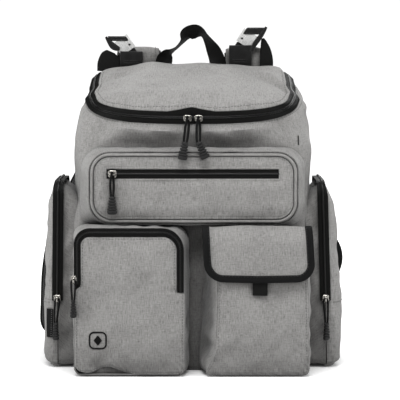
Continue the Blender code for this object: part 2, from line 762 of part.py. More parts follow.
left_gusset()
pivot("left_pocket_front", (0, LOWER_FRONT_Y - 0.0030, LEFT_FOLD_Z))
left_tapes()
left_faces()
badge_patch()
slider_and_pull(
    "left_pocket",
    (LEFT.left - 0.0002, LEFT_TAPE_Y - GAP, 0.1335),
    "Z",
    straight(0.026, 0.0087),
    width=0.0076,
    turn=78,
)

# ---------------------------------------------------------------- lower right flap pocket
# corners as (x, z): bottom-left, bottom-right, top-right, top-left
RIGHT_FACE = [(0.0180, LOWER_BOTTOM), (0.1605, LOWER_BOTTOM), (0.1565, 0.1850), (0.0335, 0.1850)]
RIGHT_BACK = [(0.0090, LOWER_BOTTOM), (0.1640, LOWER_BOTTOM), (0.1620, 0.1900), (0.0200, 0.1900)]
RIGHT_CORNER = 0.010
FLAP_CORNERS = [(0.0185, 0.1330), (0.1665, 0.1320), (0.1610, 0.2200), (0.0135, 0.2200)]
FLAP_AXIS = (0, -0.1245, 0.2035)
FLAP_Y = -0.1425  # the hanging part of the flap, in the middle of its thickness
# (y, z) from the hinge forwards and down
FLAP_PROFILE = catmull(
    [
        (-0.1262, 0.2040), (-0.1325, 0.2010), (-0.1385, 0.1950),
        (-0.1418, 0.1850), (FLAP_Y, 0.1720), (FLAP_Y, 0.1300),
    ],
    3,
)
BINDING_T = 0.0012


def open_u(corners):
    """The outline without its top edge: down the left side, across, and up the right side."""
    around = [corners[3], *corners[:3]]
    return round_poly(around, (0, RIGHT_CORNER, RIGHT_CORNER, 0), 4)


def right_pocket():
    back, front = open_u(RIGHT_BACK), open_u(RIGHT_FACE)
    inside = (0.09, -0.1, 0.15)
    pocket_gusset("right_pocket_gusset", back, front, LOWER_FRONT_Y, inside, closed=False)
    outline = round_poly(RIGHT_FACE, (RIGHT_CORNER, RIGHT_CORNER, 0.004, 0.004), 4)
    plate("right_pocket_face", [outline], FACE_FABRIC, GREY, LOWER_FACE_Y)


def moved_out(profile, distance):
    """The profile moved forwards by distance, square to itself."""
    points = [Vector(p) for p in profile]
    out = []
    for i, point in enumerate(points):
        along = (points[min(i + 1, len(points) - 1)] - points[max(i - 1, 0)]).normalized()
        out.append(tuple(point + Vector((along.y, -along.x)) * distance))
    return out


def flap_sheet(name, profile, thick, mat):
    rows = [[(x, y, z) for y, z in profile] for x in (0.0, 0.18)]
    return shell(name, rows, thick, mat, offset=0.0)


def inset_corners(corners, bottom, top, top_z):
    """The corners drawn in by bottom and top, with the upper two put at top_z."""
    (x0, z0), (x1, z1), (x2, _), (x3, _) = corners
    return [(x0 + bottom, z0 + bottom), (x1 - bottom, z1 + bottom), (x2 - top, top_z), (x3 + top, top_z)]


def rounded_flap_block(name, corners, radius, thick, front_y):
    outline = round_poly(corners, (radius, radius, 0, 0), 6)
    return plate(name, [outline], thick, GREY, front_y)


def right_flap():
    flap = flap_sheet("right_pocket_flap", FLAP_PROFILE, FACE_FABRIC, GREY)
    block = rounded_flap_block("flap_outline", FLAP_CORNERS, 0.024, 0.2, -0.2)
    return smooth(boolean(flap, block, "INTERSECT"))


def flap_binding():
    """A band round the flap's sides and lower edge, on its front."""
    out = FACE_FABRIC / 2 + GAP + BINDING_T / 2 + 0.0001
    binding = flap_sheet("flap_binding", moved_out(FLAP_PROFILE, out), BINDING_T, TAPE)
    outer = inset_corners(FLAP_CORNERS, -0.001, -0.001, 0.22)
    inner = inset_corners(outer, 0.0105, 0.0085, 0.23)
    ring = rounded_flap_block("binding_outline", outer, 0.025, 0.2, -0.2)
    hole = rounded_flap_block("binding_hole", inner, 0.016, 0.3, -0.25)
    ring = boolean(ring, hole, "DIFFERENCE")
    return smooth(boolean(binding, ring, "INTERSECT"))


def flap_pull_tab():
    """A short webbing tab behind the flap's lower edge."""
    y = FLAP_Y + FACE_FABRIC / 2 + GAP
    return box("flap_pull_tab", (0.0825, y, 0.1135), (0.1025, y + 0.0014, 0.1440), WEBBING)


right_pocket()
pivot("flap", FLAP_AXIS)
hang(right_flap(), "flap")
hang(flap_binding(), "flap")
hang(flap_pull_tab(), "flap")

# ---------------------------------------------------------------- side pockets
SIDE = SimpleNamespace(inner=0.1690, front=-0.063, back=0.060, bottom=0.002, top=0.264)
SIDE_FOLD_Z = 0.0945  # the door folds down about this height
SIDE_HINGE_X = 0.2062
SIDE_WIDEST = 0.2060
SIDE_FABRIC = 0.0024
# (z, distance of the outer face from the bag's middle)
SIDE_OUTER = [
    (0.0, 0.2045), (0.02, SIDE_WIDEST), (0.10, SIDE_WIDEST), (0.15, 0.2040),
    (0.20, 0.1990), (0.24, 0.1925), (0.27, 0.1860),
]
# the slanting front corner of the lower part: its two ends in from the outer face, and its depth
CORNER_START, CORNER_END, CORNER_DEPTH = 0.0110, 0.0015, 0.0095
SIDE_TAPE_NEAR, SIDE_TAPE_FAR = 0.0004, 0.0074  # the tape's edges, measured from the seam


def seam_x(z):
    """Where the side pocket's zip runs, drawn in towards the top."""
    return 0.1885 - 0.0075 * min(1.0, max(0.0, z - 0.03) / 0.23)


def side_arch(inset, low):
    """The zip's path in (y, z): up the front, over the top and down the back."""
    front, back, top = SIDE.front + inset, SIDE.back - inset, SIDE.top - inset
    radius = 0.018 - inset * 0.6
    middle = (low + top - radius) / 2
    return [
        (front, low),
        (front, middle),
        *arc(front + radius, top - radius, radius, 180, -90, 4),
        *arc(back - radius, top - radius, radius, 90, -90, 4),
        (back, middle),
        (back, low),
    ]


def side_gusset(side, label):
    ring = [(SIDE.back - 0.004, SIDE.bottom), (SIDE.front + 0.004, SIDE.bottom)]
    ring += side_arch(0.0, 0.012)
    rows = [
        [(side * SIDE.inner, y, z) for y, z in ring],
        [(side * (seam_x(z) - GAP), y, z) for y, z in ring],
    ]
    name, inside = "side_gusset_" + label, (side * 0.178, 0, 0.13)
    smooth(shell(name, rows, GUSSET_FABRIC, GREY, closed=True, inside=inside))


def side_door(side, label):
    """The upper part, which opens; its rows run from the seam out to the face."""
    rows = []
    for k, inset in enumerate((0.0, 0.0, 0.0012, 0.0050)):
        row = []
        for y, z in side_arch(inset, SIDE_FOLD_Z + FOLD_GAP):
            near, far = seam_x(z) + GAP, interpolate(SIDE_OUTER, z)
            x = (near, near + 0.0020, far - 0.0042, far)[k]
            row.append((side * max(x, near + 0.0015 * k), y, z))
        rows.append(row)
    name, inside = "side_panel_" + label, (side * 0.185, 0, 0.16)
    return smooth(shell(name, rows, SIDE_FABRIC, GREY, inside=inside, fold_last=True))


def side_lower(side, label):
    """The fixed part under the fold; its last rows close in to form the bottom."""
    rows = []
    levels = ((SIDE_FOLD_Z - FOLD_GAP, 0.0), (0.020, 0.0), (0.0065, 0.0015), (0.0032, 0.0060))
    for z, inset in levels:
        near, far = seam_x(z) + GAP, SIDE_WIDEST - inset
        front, back = SIDE.front + inset, SIDE.back - inset
        path = [
            (near, front),
            (far - CORNER_START, front),
            (far - CORNER_END, front + CORNER_DEPTH),
            (far, front + 0.0150),
            (far, back - 0.012),
            (far - 0.004, back - 0.003),
            (near + 0.004, back),
            (near, back),
        ]
        rows.append([(side * x, y, z) for x, y in path])
    name, inside = "side_lower_" + label, (side * 0.19, 0, 0.06)
    smooth(shell(name, rows, SIDE_FABRIC, GREY, inside=inside, fold_last=True))


def side_tape(side, name, edges):
    """Half of the zip's tape, up the front and over the top to the back's upper corner. edges
    are functions of z that give the tape's two edges in x."""
    path = side_arch(-GAP - TAPE_T / 2, SIDE_FOLD_Z + FOLD_GAP)[:-2]
    rows = [[(side * edge(z), y, z) for y, z in path] for edge in edges]
    return smooth(shell(name, rows, TAPE_T, TAPE, offset=0.0, inside=(side * 0.19, 0, 0.15)))


def inner_tape_edges():
    return (lambda z: seam_x(z) - SIDE_TAPE_NEAR, lambda z: seam_x(z) - SIDE_TAPE_FAR)


def outer_tape_edges():
    def far_edge(z):
        room = interpolate(SIDE_OUTER, z) - seam_x(z) - 0.0046
        return seam_x(z) + min(SIDE_TAPE_FAR, room)

    return (lambda z: seam_x(z) + SIDE_TAPE_NEAR, far_edge)


def side_pocket(side, label, pull_shift):
    """side is -1 for the left pocket and 1 for the right."""
    door_pivot = "side_panel_" + label
    side_gusset(side, label)
    pivot(door_pivot, (side * SIDE_HINGE_X, 0.0, SIDE_FOLD_Z))
    hang(side_door(side, label), door_pivot)
    side_lower(side, label)
    side_tape(side, "side_tape_inner_" + label, inner_tape_edges())
    hang(side_tape(side, "side_tape_outer_" + label, outer_tape_edges()), door_pivot)
    z = SIDE_FOLD_Z + 0.003
    slider_and_pull(
        "side_" + label,
        (side * seam_x(z), SIDE.front - GAP - TAPE_T - GAP, z),
        "Z",
        straight(0.032),
        width=0.0090,
        turn=60 * side,
        shift=pull_shift,
    )


def side_label():
    """A small label flat on the left pocket's slanting front corner."""
    label = box("side_label_left", (-0.0050, -0.0009, 0.0430), (0.0050, 0.0, 0.0830), TAPE)
    stand_off = 0.00022  # along both X and Y
    x = -SIDE_WIDEST + (CORNER_START + CORNER_END) / 2 - stand_off
    y = SIDE.front + CORNER_DEPTH / 2 - stand_off
    slant = math.atan2(CORNER_DEPTH, CORNER_START - CORNER_END)
    label.data.transform(Matrix.Translation((x, y, 0)) @ Matrix.Rotation(-slant, 4, "Z"))


side_pocket(-1, "left", pull_shift=-0.0020)
side_pocket(1, "right", pull_shift=0.0010)
side_label()

# ---------------------------------------------------------------- carry handle
HANDLE_W = 0.0235
HANDLE_END_Z = 0.4060
# centre x, y, z, then the direction of the width
HANDLE_STATIONS = [
    (-0.0415, BACK_SEAM_Y, HANDLE_END_Z, 1.0, 0.0, 0.0),
    (-0.0405, BACK_SEAM_Y, 0.4210, 0.93, 0.0, -0.30),
    (-0.0260, 0.0900, 0.4385, 0.66, 0.30, -0.62),
    (-0.0160, 0.0885, 0.4530, 0.44, 0.72, -0.50),
    (-0.0105, 0.0870, 0.4655, 0.24, 0.82, -0.46),
    (-0.0020, 0.0860, 0.4735, 0.05, 0.84, -0.48),
    (0.0080, 0.0860, 0.4730, 0.10, 0.84, -0.36),
    (0.0170, 0.0868, 0.4630, 0.46, 0.78, 0.10),
    (0.0240, 0.0880, 0.4510, 0.68, 0.54, 0.34),
    (0.0325, 0.0900, 0.4395, 0.86, 0.20, 0.44),
    (0.0390, BACK_SEAM_Y, 0.4220, 0.97, 0.0, 0.18),
    (0.0390, BACK_SEAM_Y, HANDLE_END_Z, 1.0, 0.0, 0.0),
]

pivot("carry_handle", (0, BACK_SEAM_Y, HANDLE_END_Z))
handle_path = catmull([(x, y, z, HANDLE_W, *way) for x, y, z, *way in HANDLE_STATIONS], 2)
hang(ribbon("carry_handle", handle_path, WEBBING_T, WEBBING, across=2), "carry_handle")

# ---------------------------------------------------------------- shoulder straps
STRAP_X = 0.0770
STRAP_CREST = (0.106, 0.4410)  # y, z of the fold where a shoulder strap turns down
STRAP_W = 0.058
STRAP_T = 0.009
STRAP_TAB_T = 0.0060
# y, z of the tab that carries a strap, from the back panel up to the crest
STRAP_TAB = [(0.1003, 0.398), (0.1003, 0.418), (0.1005, 0.4300), (0.1015, 0.4390), (0.1050, 0.4435)]

# centre x, y, z, width, then the z part of the width's direction, whose x part is 1
LEFT_STRAP = [
    (-STRAP_X, 0.1125, 0.4405, STRAP_W, 0),
    (-0.0785, 0.1190, 0.4220, STRAP_W, 0),
    (-0.0900, 0.1215, 0.3850, STRAP_W, -0.18),
    (-0.1080, 0.1215, 0.3400, STRAP_W, -0.30),
    (-0.1330, 0.1210, 0.2920, 0.059, -0.38),
    (-0.1620, 0.1205, 0.2350, 0.060, -0.34),
    (-0.1830, 0.1205, 0.1800, 0.061, -0.20),
    (-0.1925, 0.1205, 0.1200, 0.062, -0.09),
    (-0.1955, 0.1195, 0.0650, 0.062, -0.04),
    (-0.1965, 0.1175, 0.0240, 0.046, 0),
]
RIGHT_STRAP = [
    (STRAP_X, 0.1125, 0.4405, STRAP_W, 0),
    (0.0785, 0.1190, 0.4220, STRAP_W, 0),
    (0.0870, 0.1215, 0.3850, STRAP_W, 0.14),
    (0.0990, 0.1215, 0.3400, STRAP_W, 0.20),
    (0.1150, 0.1210, 0.2900, STRAP_W, 0.22),
    (0.1310, 0.1205, 0.2420, STRAP_W, 0.22),
    (0.1420, 0.1195, 0.2060, 0.046, 0.20),
]

# webbing from the bag's lower back corners towards the ladder locks:
# centre x, y, z, width, then the x and z parts of the width's direction
LEFT_WEBBING = [
    (-0.1500, BACK_SEAM_Y, 0.0420, WEBBING_W, 1, 0.1),
    (-0.1540, 0.0940, 0.0260, WEBBING_W, 1, 0.3),
    (-0.1610, 0.1005, 0.0165, WEBBING_W, 0.5, 1.0),
    (-0.1730, 0.1065, 0.0150, WEBBING_W * 0.9, 0.1, 1.0),
]
RIGHT_WEBBING = [
    (0.1480, BACK_SEAM_Y, 0.0300, WEBBING_W, 1, -0.5),
    (0.1560, 0.0935, 0.0500, WEBBING_W, 1, -0.6),
    (0.1740, 0.0990, 0.0740, WEBBING_W, 1, -0.9),
    (0.1960, 0.1060, 0.0990, WEBBING_W, 1, -0.8),
    (0.2105, 0.1110, 0.1290, WEBBING_W, 1, -0.2),
    (0.2060, 0.1140, 0.1530, WEBBING_W, 1, 0.55),
    (0.1880, 0.1155, 0.1640, WEBBING_W, 0.55, 1.0),
    (0.1700, 0.1165, 0.1670, WEBBING_W * 0.9, 0.30, 1.0),
    (0.1560, 0.1175, 0.1670, WEBBING_W * 0.7, 0.15, 1.0),
]

LOCK_W, LOCK_H, LOCK_T = 0.034, 0.022, 0.0042
LOCK_SLOT_HALF_W = 0.0132
LOCK_SLOTS = ((-0.0085, -0.0045), (-0.0175, -0.0125))  # z of each slot, from the frame's top


def strap_tab(side, label):
    path = [(side * STRAP_X, y, z, STRAP_W, 1, 0, 0) for y, z in catmull(STRAP_TAB, 2)]
    ribbon("strap_tab_" + label, path, STRAP_TAB_T, GREY)


def ladder_lock(name, at, tilt):
    """A frame with two slots, for the strap's end and the webbing, its top 1 mm under its axis."""
    low, high = (-LOCK_W / 2, -LOCK_T / 2, -LOCK_H), (LOCK_W / 2, LOCK_T / 2, 0.0)
    frame = box(name, low, high, PLASTIC, bevel=0.001, segments=1)
    for z0, z1 in LOCK_SLOTS:
        low, high = (-LOCK_SLOT_HALF_W, -0.01, z0), (LOCK_SLOT_HALF_W, 0.01, z1)
        frame = boolean(frame, box(name + "_slot", low, high, PLASTIC), "DIFFERENCE")
    turned_frame = Matrix.Rotation(math.radians(tilt), 4, "Y") @ Matrix.Translation((0, 0, -0.001))
    frame.data.transform(Matrix.Translation(at) @ turned_frame)
    return frame


def shoulder_strap(side, label, stations, lock_at, lock_tilt, webbing):
    strap_tab(side, label)
    strap_name, lock_name = "shoulder_strap_" + label, "ladder_lock_" + label
    pivot(strap_name, (side * STRAP_X, *STRAP_CREST))
    path = catmull([(x, y, z, width, 1, 0, wz) for x, y, z, width, wz in stations], 2)
    hang(ribbon(strap_name, path, STRAP_T, MESH), strap_name)
    pivot(lock_name, lock_at, strap_name)
    hang(ladder_lock(lock_name, lock_at, lock_tilt), lock_name)
    path = catmull([(x, y, z, width, wx, 0, wz) for x, y, z, width, wx, wz in webbing], 3)
    ribbon("lower_webbing_" + label, path, WEBBING_T, WEBBING)


shoulder_strap(-1, "left", LEFT_STRAP, (-0.1965, 0.1175, 0.0236), 0.0, LEFT_WEBBING)
shoulder_strap(1, "right", RIGHT_STRAP, (0.1425, 0.1195, 0.2045), -11.3, RIGHT_WEBBING)

# ---------------------------------------------------------------- stroller straps with buckles
BUCKLE_Y = 0.0925
BUCKLE_HALF_W = 0.0165
MOUTH_SHIFT = 0.0028  # the slot's mouth is this far out from the base's middle

# distance from the bag's middle, y, z, width, then the outward slope of the width's direction
LEFT_STROLLER = [
    (0.1240, BACK_SEAM_Y, 0.4110, 0.0250, 0.30),
    (0.1245, 0.0915, 0.4230, 0.0260, 0.36),
    (0.1225, 0.0925, 0.4330, 0.0180, 0.50),
    (0.1190, 0.0930, 0.4400, 0.0080, 0.60),
]
RIGHT_STROLLER = [
    (0.1080, BACK_SEAM_Y, 0.4110, 0.0180, 0.10),
    (0.1085, 0.0915, 0.4250, 0.0180, 0.10),
    (0.1075, 0.0925, 0.4380, 0.0160, 0.20),
    (0.1050, 0.0930, 0.4490, 0.0100, 0.40),
]


def buckle_base(name, side, base_x, base_z, height, slant):
    low, high = (-BUCKLE_HALF_W, -0.0037, 0.0), (BUCKLE_HALF_W, 0.0030, height)
    base = box(name, low, high, PLASTIC, bevel=0.0014)
    slot = box("slot", (-0.0118, -0.0018, -0.0125), (0.0118, 0.0010, 0.03), PLASTIC)
    slot.data.transform(Matrix.Translation((side * MOUTH_SHIFT, 0, height)) @ slant)
    base = boolean(base, slot, "DIFFERENCE")
    base.data.transform(Matrix.Translation((base_x, BUCKLE_Y, base_z)))
    return smooth(base)


def buckle_clip(name, side, mouth, lean, slant):
    """A slanting tongue with a bar across its top and an arm down its outer side."""
    clip = box(name, (-0.0110, -0.0012, -0.0095), (0.0110, 0.0004, 0.0200), PLASTIC)
    low, high = (-0.0146, -0.0034, 0.0170), (0.0146, 0.0026, 0.0247)
    clip = boolean(clip, box("bar", low, high, PLASTIC, bevel=0.0012, segments=1), "UNION")
    clip.data.transform(slant)
    arm = box("arm", (-0.0022, -0.0020, -0.0200), (0.0022, 0.0012, 0.0050), PLASTIC)
    arm_z, arm_angle = 0.0215, math.radians(side * 24)
    arm_at = Matrix.Translation((side * (0.0160 + lean * arm_z), 0, arm_z))
    arm.data.transform(arm_at @ Matrix.Rotation(arm_angle, 4, "Y"))
    clip = boolean(clip, arm, "UNION")
    clip.data.transform(Matrix.Translation(mouth))
    return smooth(clip)


def stroller_strap(side, label, base_x, base_z, base_height, lean, webbing):
    """Webbing sewn into the back seam and a buckle's base, with the buckle's clip pushed into the
    slot in its top. lean is how far the clip's sides slant outwards per metre they rise."""
    strap_name, clip_name = "stroller_strap_" + label, "buckle_clip_" + label
    pivot(strap_name, (base_x, BACK_SEAM_Y, 0.4120))
    path = [(side * x, y, z, width, 1, 0, side * wz) for x, y, z, width, wz in webbing]
    name = "stroller_webbing_" + label
    hang(ribbon(name, catmull(path, 3), WEBBING_T, WEBBING, across=2), strap_name)
    slant = Matrix.Identity(4)
    slant[0][2] = side * lean
    base = buckle_base("buckle_base_" + label, side, base_x, base_z, base_height, slant)
    hang(base, strap_name)
    mouth = Vector((base_x + side * MOUTH_SHIFT, BUCKLE_Y, base_z + base_height))
    pivot(clip_name, mouth, strap_name)
    hang(buckle_clip(clip_name, side, mouth, lean, slant), clip_name)


stroller_strap(
    -1, "left", base_x=-0.0895, base_z=0.4185, base_height=0.0225, lean=0.72, webbing=LEFT_STROLLER
)
stroller_strap(
    1, "right", base_x=0.0700, base_z=0.4180, base_height=0.0320, lean=0.66, webbing=RIGHT_STROLLER
)

# meshes left over from baking
for mesh in [m for m in bpy.data.meshes if not m.users]:
    bpy.data.meshes.remove(mesh)
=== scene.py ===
"""A diaper backpack: heather-grey cloth, black zips and webbing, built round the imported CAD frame.

Metres, +Z up. The bag stands on the floor, its front faces -Y, and left and right mean -X and +X.
Each soft piece is a sheet or a sweep made from a grid of points (rows, columns, xyz), with UVs in
metres so that the weave keeps its real size.
"""
from functools import cached_property
from math import pi as PI, radians, sqrt

import bmesh
import bpy
import numpy as np
from mathutils import Matrix, Vector
from numpy import cos, exp, sin


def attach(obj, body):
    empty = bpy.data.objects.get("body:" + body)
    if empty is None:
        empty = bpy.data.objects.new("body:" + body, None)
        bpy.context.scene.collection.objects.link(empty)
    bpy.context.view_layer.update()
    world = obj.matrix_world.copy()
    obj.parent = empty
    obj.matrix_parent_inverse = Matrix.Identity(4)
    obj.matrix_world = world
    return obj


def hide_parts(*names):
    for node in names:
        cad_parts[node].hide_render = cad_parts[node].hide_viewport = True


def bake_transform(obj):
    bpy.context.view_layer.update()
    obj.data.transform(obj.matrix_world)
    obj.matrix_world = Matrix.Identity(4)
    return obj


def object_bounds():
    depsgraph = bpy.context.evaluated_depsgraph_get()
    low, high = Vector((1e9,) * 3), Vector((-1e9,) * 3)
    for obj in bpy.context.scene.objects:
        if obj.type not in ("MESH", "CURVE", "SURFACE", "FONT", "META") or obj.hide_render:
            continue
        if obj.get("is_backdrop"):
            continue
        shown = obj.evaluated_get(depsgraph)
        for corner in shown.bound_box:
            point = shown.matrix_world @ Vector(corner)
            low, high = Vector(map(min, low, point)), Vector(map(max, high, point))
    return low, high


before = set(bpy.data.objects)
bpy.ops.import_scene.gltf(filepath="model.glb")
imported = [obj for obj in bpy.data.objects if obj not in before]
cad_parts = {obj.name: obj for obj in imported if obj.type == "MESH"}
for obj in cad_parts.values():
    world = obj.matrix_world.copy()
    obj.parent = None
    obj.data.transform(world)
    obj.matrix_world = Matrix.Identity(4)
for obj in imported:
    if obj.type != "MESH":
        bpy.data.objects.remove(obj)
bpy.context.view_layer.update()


# ------------------------------------------------------------------ curves and grids
def ease(value, start=0.0, width=1.0):
    """Smooth step from 0 at start to 1 at start + width."""
    t = np.clip((value - start) / width, 0.0, 1.0)
    return t * t * (3 - 2 * t)


def bell(value, centre, width):
    return exp(-(((value - centre) / width) ** 2))


def waves(seed, wavelength, stretch=(1, 1, 1), count=16):
    """Smooth noise of about unit size: sine waves in random directions, the same each run."""
    rng = np.random.default_rng(seed)
    vectors = rng.normal(size=(count, 3))
    vectors /= np.linalg.norm(vectors, axis=1, keepdims=True)
    vectors *= 2 * PI / wavelength * rng.uniform(0.55, 1.5, (count, 1)) / np.array(stretch)
    phases = rng.uniform(0, 2 * PI, count)

    def at(points):
        return sin(points @ vectors.T + phases).sum(-1) / sqrt(count / 2)

    return at


SOFT = waves(3, 0.070)
CRUMPLE = waves(5, 0.030)
SIDEWAYS = waves(8, 0.045, (2.4, 1, 0.8))


def unit(v):
    return v / np.maximum(np.linalg.norm(v, axis=-1, keepdims=True), 1e-12)


def grid_of(x, y, z):
    """Points from coordinates of any shapes that broadcast together."""
    return np.stack(np.broadcast_arrays(x, y, z), -1)


def axes(grid):
    """The x, y and z of a grid, as views that write through to it."""
    return np.moveaxis(grid, -1, 0)


def run_length(points):
    return np.r_[0, np.cumsum(np.linalg.norm(np.diff(points, axis=0), axis=1))]


def resample(points, count, closed=False):
    points = np.asarray(points, float)
    if closed:
        points = np.vstack([points, points[:1]])
    run = run_length(points)
    at = np.linspace(0, run[-1], count + 1)[:-1] if closed else np.linspace(0, run[-1], count)
    return np.stack([np.interp(at, run, column) for column in points.T], -1)


def catmull(points, per):
    """Catmull-Rom curve through the points, in per steps for each span."""
    points = np.asarray(points, float)
    last = len(points) - 1
    out = []
    for i in range(last):
        a, b, c, d = (points[max(0, min(last, k))] for k in (i - 1, i, i + 1, i + 2))
        for step in range(per):
            t = step / per
            square_term = (2 * a - 5 * b + 4 * c - d) * t * t
            out.append(0.5 * (2 * b + (c - a) * t + square_term + (3 * b - a - 3 * c + d) * t**3))
    out.append(points[-1])
    return np.array(out)


def spread(count, low, high, bias=0.6):
    """Values from low to high, closer together near both ends."""
    t = np.linspace(0, 1, count)
    return low + (high - low) * ((1 - bias) * t + bias * (0.5 - 0.5 * cos(PI * t)))


def curl(distance, radius):
    """Drop of a quarter-round edge at a distance in from it."""
    distance = np.clip(distance, 0, radius)
    return radius - np.sqrt(np.maximum(radius * radius - (radius - distance) ** 2, 0))


def superpower(v, n):
    return np.sign(v) * np.abs(v) ** (2 / n)


def rounded_rect(x0, x1, z0, z1, radii, count):
    """Closed outline; radii run low-left, low-right, top-right, top-left."""
    corners = ((x0, z0, 1, 1, 180), (x1, z0, -1, 1, 270), (x1, z1, -1, -1, 0), (x0, z1, 1, -1, 90))
    points = []
    for (x, z, inward_x, inward_z, start), radius in zip(corners, radii):
        for i in range(13):
            a = radians(start + 90 * i / 12)
            points.append((x + inward_x * radius + radius * cos(a),
                           z + inward_z * radius + radius * sin(a)))
    return resample(points, count, closed=True)


def edge_run(points, directions, count):
    """Resample a line and its directions together, repeated points dropped."""
    keep = np.r_[True, np.linalg.norm(np.diff(points, axis=0), axis=1) > 1e-6]
    both = resample(np.hstack([points, directions * 0.02])[keep], count)
    return both[:, :3], unit(both[:, 3:])


# ------------------------------------------------------------------ materials
class Nodes:
    """A material and short ways to add nodes to it."""

    def __init__(self, name):
        self.mat = bpy.data.materials.new(name)
        self.mat.use_nodes = True
        self.tree = self.mat.node_tree
        self.bsdf = self.tree.nodes["Principled BSDF"]

    @cached_property
    def uv(self):
        return self.new("ShaderNodeUVMap", uv_map="UVMap").outputs[0]

    @cached_property
    def obj(self):
        return self.new("ShaderNodeTexCoord").outputs["Object"]

    def new(self, kind, **props):
        node = self.tree.nodes.new(kind)
        for key, value in props.items():
            setattr(node, key, value)
        return node

    def put(self, socket, value):
        if isinstance(value, bpy.types.NodeSocket):
            self.tree.links.new(value, socket)
        else:
            socket.default_value = value

    def math(self, op, a, b=0.0, c=0.0):
        node = self.new("ShaderNodeMath", operation=op)
        for socket, value in zip(node.inputs, (a, b, c)):
            self.put(socket, value)
        return node.outputs[0]

    def scaled(self, vec, x, y, z=1.0, shift=(0, 0, 0)):
        node = self.new("ShaderNodeMapping")
        self.put(node.inputs[0], vec)
        node.inputs["Location"].default_value = shift
        node.inputs["Scale"].default_value = (x, y, z)
        return node.outputs[0]

    def noise(self, vec, scale=1.0, detail=2.0, rough=0.5):
        node = self.new("ShaderNodeTexNoise")
        self.put(node.inputs["Vector"], vec)
        node.inputs["Scale"].default_value = scale
        node.inputs["Detail"].default_value = detail
        node.inputs["Roughness"].default_value = rough
        return node.outputs[0]

    def occlusion(self, distance, samples):
        node = self.new("ShaderNodeAmbientOcclusion", samples=samples)
        node.inputs["Distance"].default_value = distance
        return node.outputs["AO"]

    def split(self, vec):
        node = self.new("ShaderNodeSeparateXYZ")
        self.put(node.inputs[0], vec)
        return node.outputs

    def ramp(self, fac, stops):
        node = self.new("ShaderNodeValToRGB")
        self.put(node.inputs[0], fac)
        elements = node.color_ramp.elements
        while len(elements) < len(stops):
            elements.new(0.5)
        for element, (position, colour) in zip(elements, stops):
            element.position = position
            element.color = (*colour, 1.0)
        return node.outputs[0]

    def wave(self, u, period):
        """0..1 sine of a coordinate in metres."""
        wave = self.math("SINE", self.math("MULTIPLY_ADD", u, 2 * PI / period, 0.0))
        return self.math("MULTIPLY_ADD", wave, 0.5, 0.5)

    def bump(self, height, strength, distance):
        node = self.new("ShaderNodeBump")
        node.inputs["Strength"].default_value = strength
        node.inputs["Distance"].default_value = distance
        self.put(node.inputs["Height"], height)
        self.put(self.bsdf.inputs["Normal"], node.outputs[0])

    def finish(self, **inputs):
        for key, value in inputs.items():
            self.put(self.bsdf.inputs[key.replace("_", " ")], value)
        return self.mat


# u scale, v scale, shift, detail, roughness of the heather's noises
YARN_NOISES = [
    (60, 60, (2, 8, 1), 1.0, 0.5),  # drift of the threads
    (1250, 150, (3, 1, 0), 1.5, 0.55),  # warp
    (170, 1250, (9, 4, 7), 1.5, 0.55),  # weft
    (620, 55, (5, 2, 3), 1.0, 0.5),  # long warp slubs
    (60, 620, (1, 7, 5), 1.0, 0.5),  # long weft slubs
    (26, 17, (0, 0, 0), 2.0, 0.5),  # broad mottle
]


def heather(name, dark, light):
    """Melange plain weave: dark and pale yarn slubs that run along the warp and the weft, with
    painted shade, the colour darkened by ambient occlusion in folds and seams.
    """
    thread_pitch, thread_drift = 0.00092, 0.0016
    m = Nodes(name)
    u, v, _ = m.split(m.uv)
    drift, warp, weft, warp_slub, weft_slub, broad = [
        m.noise(m.scaled(m.uv, su, sv, shift=shift), detail=detail, rough=rough)
        for su, sv, shift, detail, rough in YARN_NOISES]
    over, under = (m.wave(m.math("MULTIPLY_ADD", drift, thread_drift, axis), thread_pitch)
                   for axis in (u, v))
    weave = m.math("MULTIPLY", over, under)
    mix = 0.5
    # layer, its mean, its weight in the tone
    for layer, mean, weight in ((warp, 0.5, 1.15), (weft, 0.5, 0.85), (warp_slub, 0.5, 0.55),
                                (weft_slub, 0.5, 0.35), (broad, 0.5, 0.35), (weave, 0.3, 0.30)):
        mix = m.math("MULTIPLY_ADD", m.math("SUBTRACT", layer, mean), weight, mix)
    middle = [a * 0.42 + b * 0.58 for a, b in zip(dark, light)]
    tone = m.ramp(mix, [(0.0, dark), (0.45, middle), (1.0, light)])
    height = m.math("MULTIPLY_ADD", weave, 0.8, m.math("ADD", warp, weft))
    m.bump(height, strength=0.30, distance=0.00030)
    # painted shade: ambient occlusion darkens the base colour in folds (wide) and seams (near)
    wide = m.occlusion(distance=0.075, samples=6)
    near = m.occlusion(distance=0.007, samples=6)
    fold_shade = m.math("MULTIPLY_ADD", m.math("POWER", wide, 1.3), 0.66, 0.34)
    seam_shade = m.math("MULTIPLY_ADD", near, 0.50, 0.50)
    shaded = m.new("ShaderNodeVectorMath", operation="SCALE")
    m.put(shaded.inputs[0], tone)
    m.put(shaded.inputs[3], m.math("MULTIPLY", fold_shade, seam_shade))
    return m.finish(Base_Color=shaded.outputs[0], Roughness=0.92, Specular_IOR_Level=0.22,
                    Sheen_Weight=0.22, Sheen_Roughness=0.6)


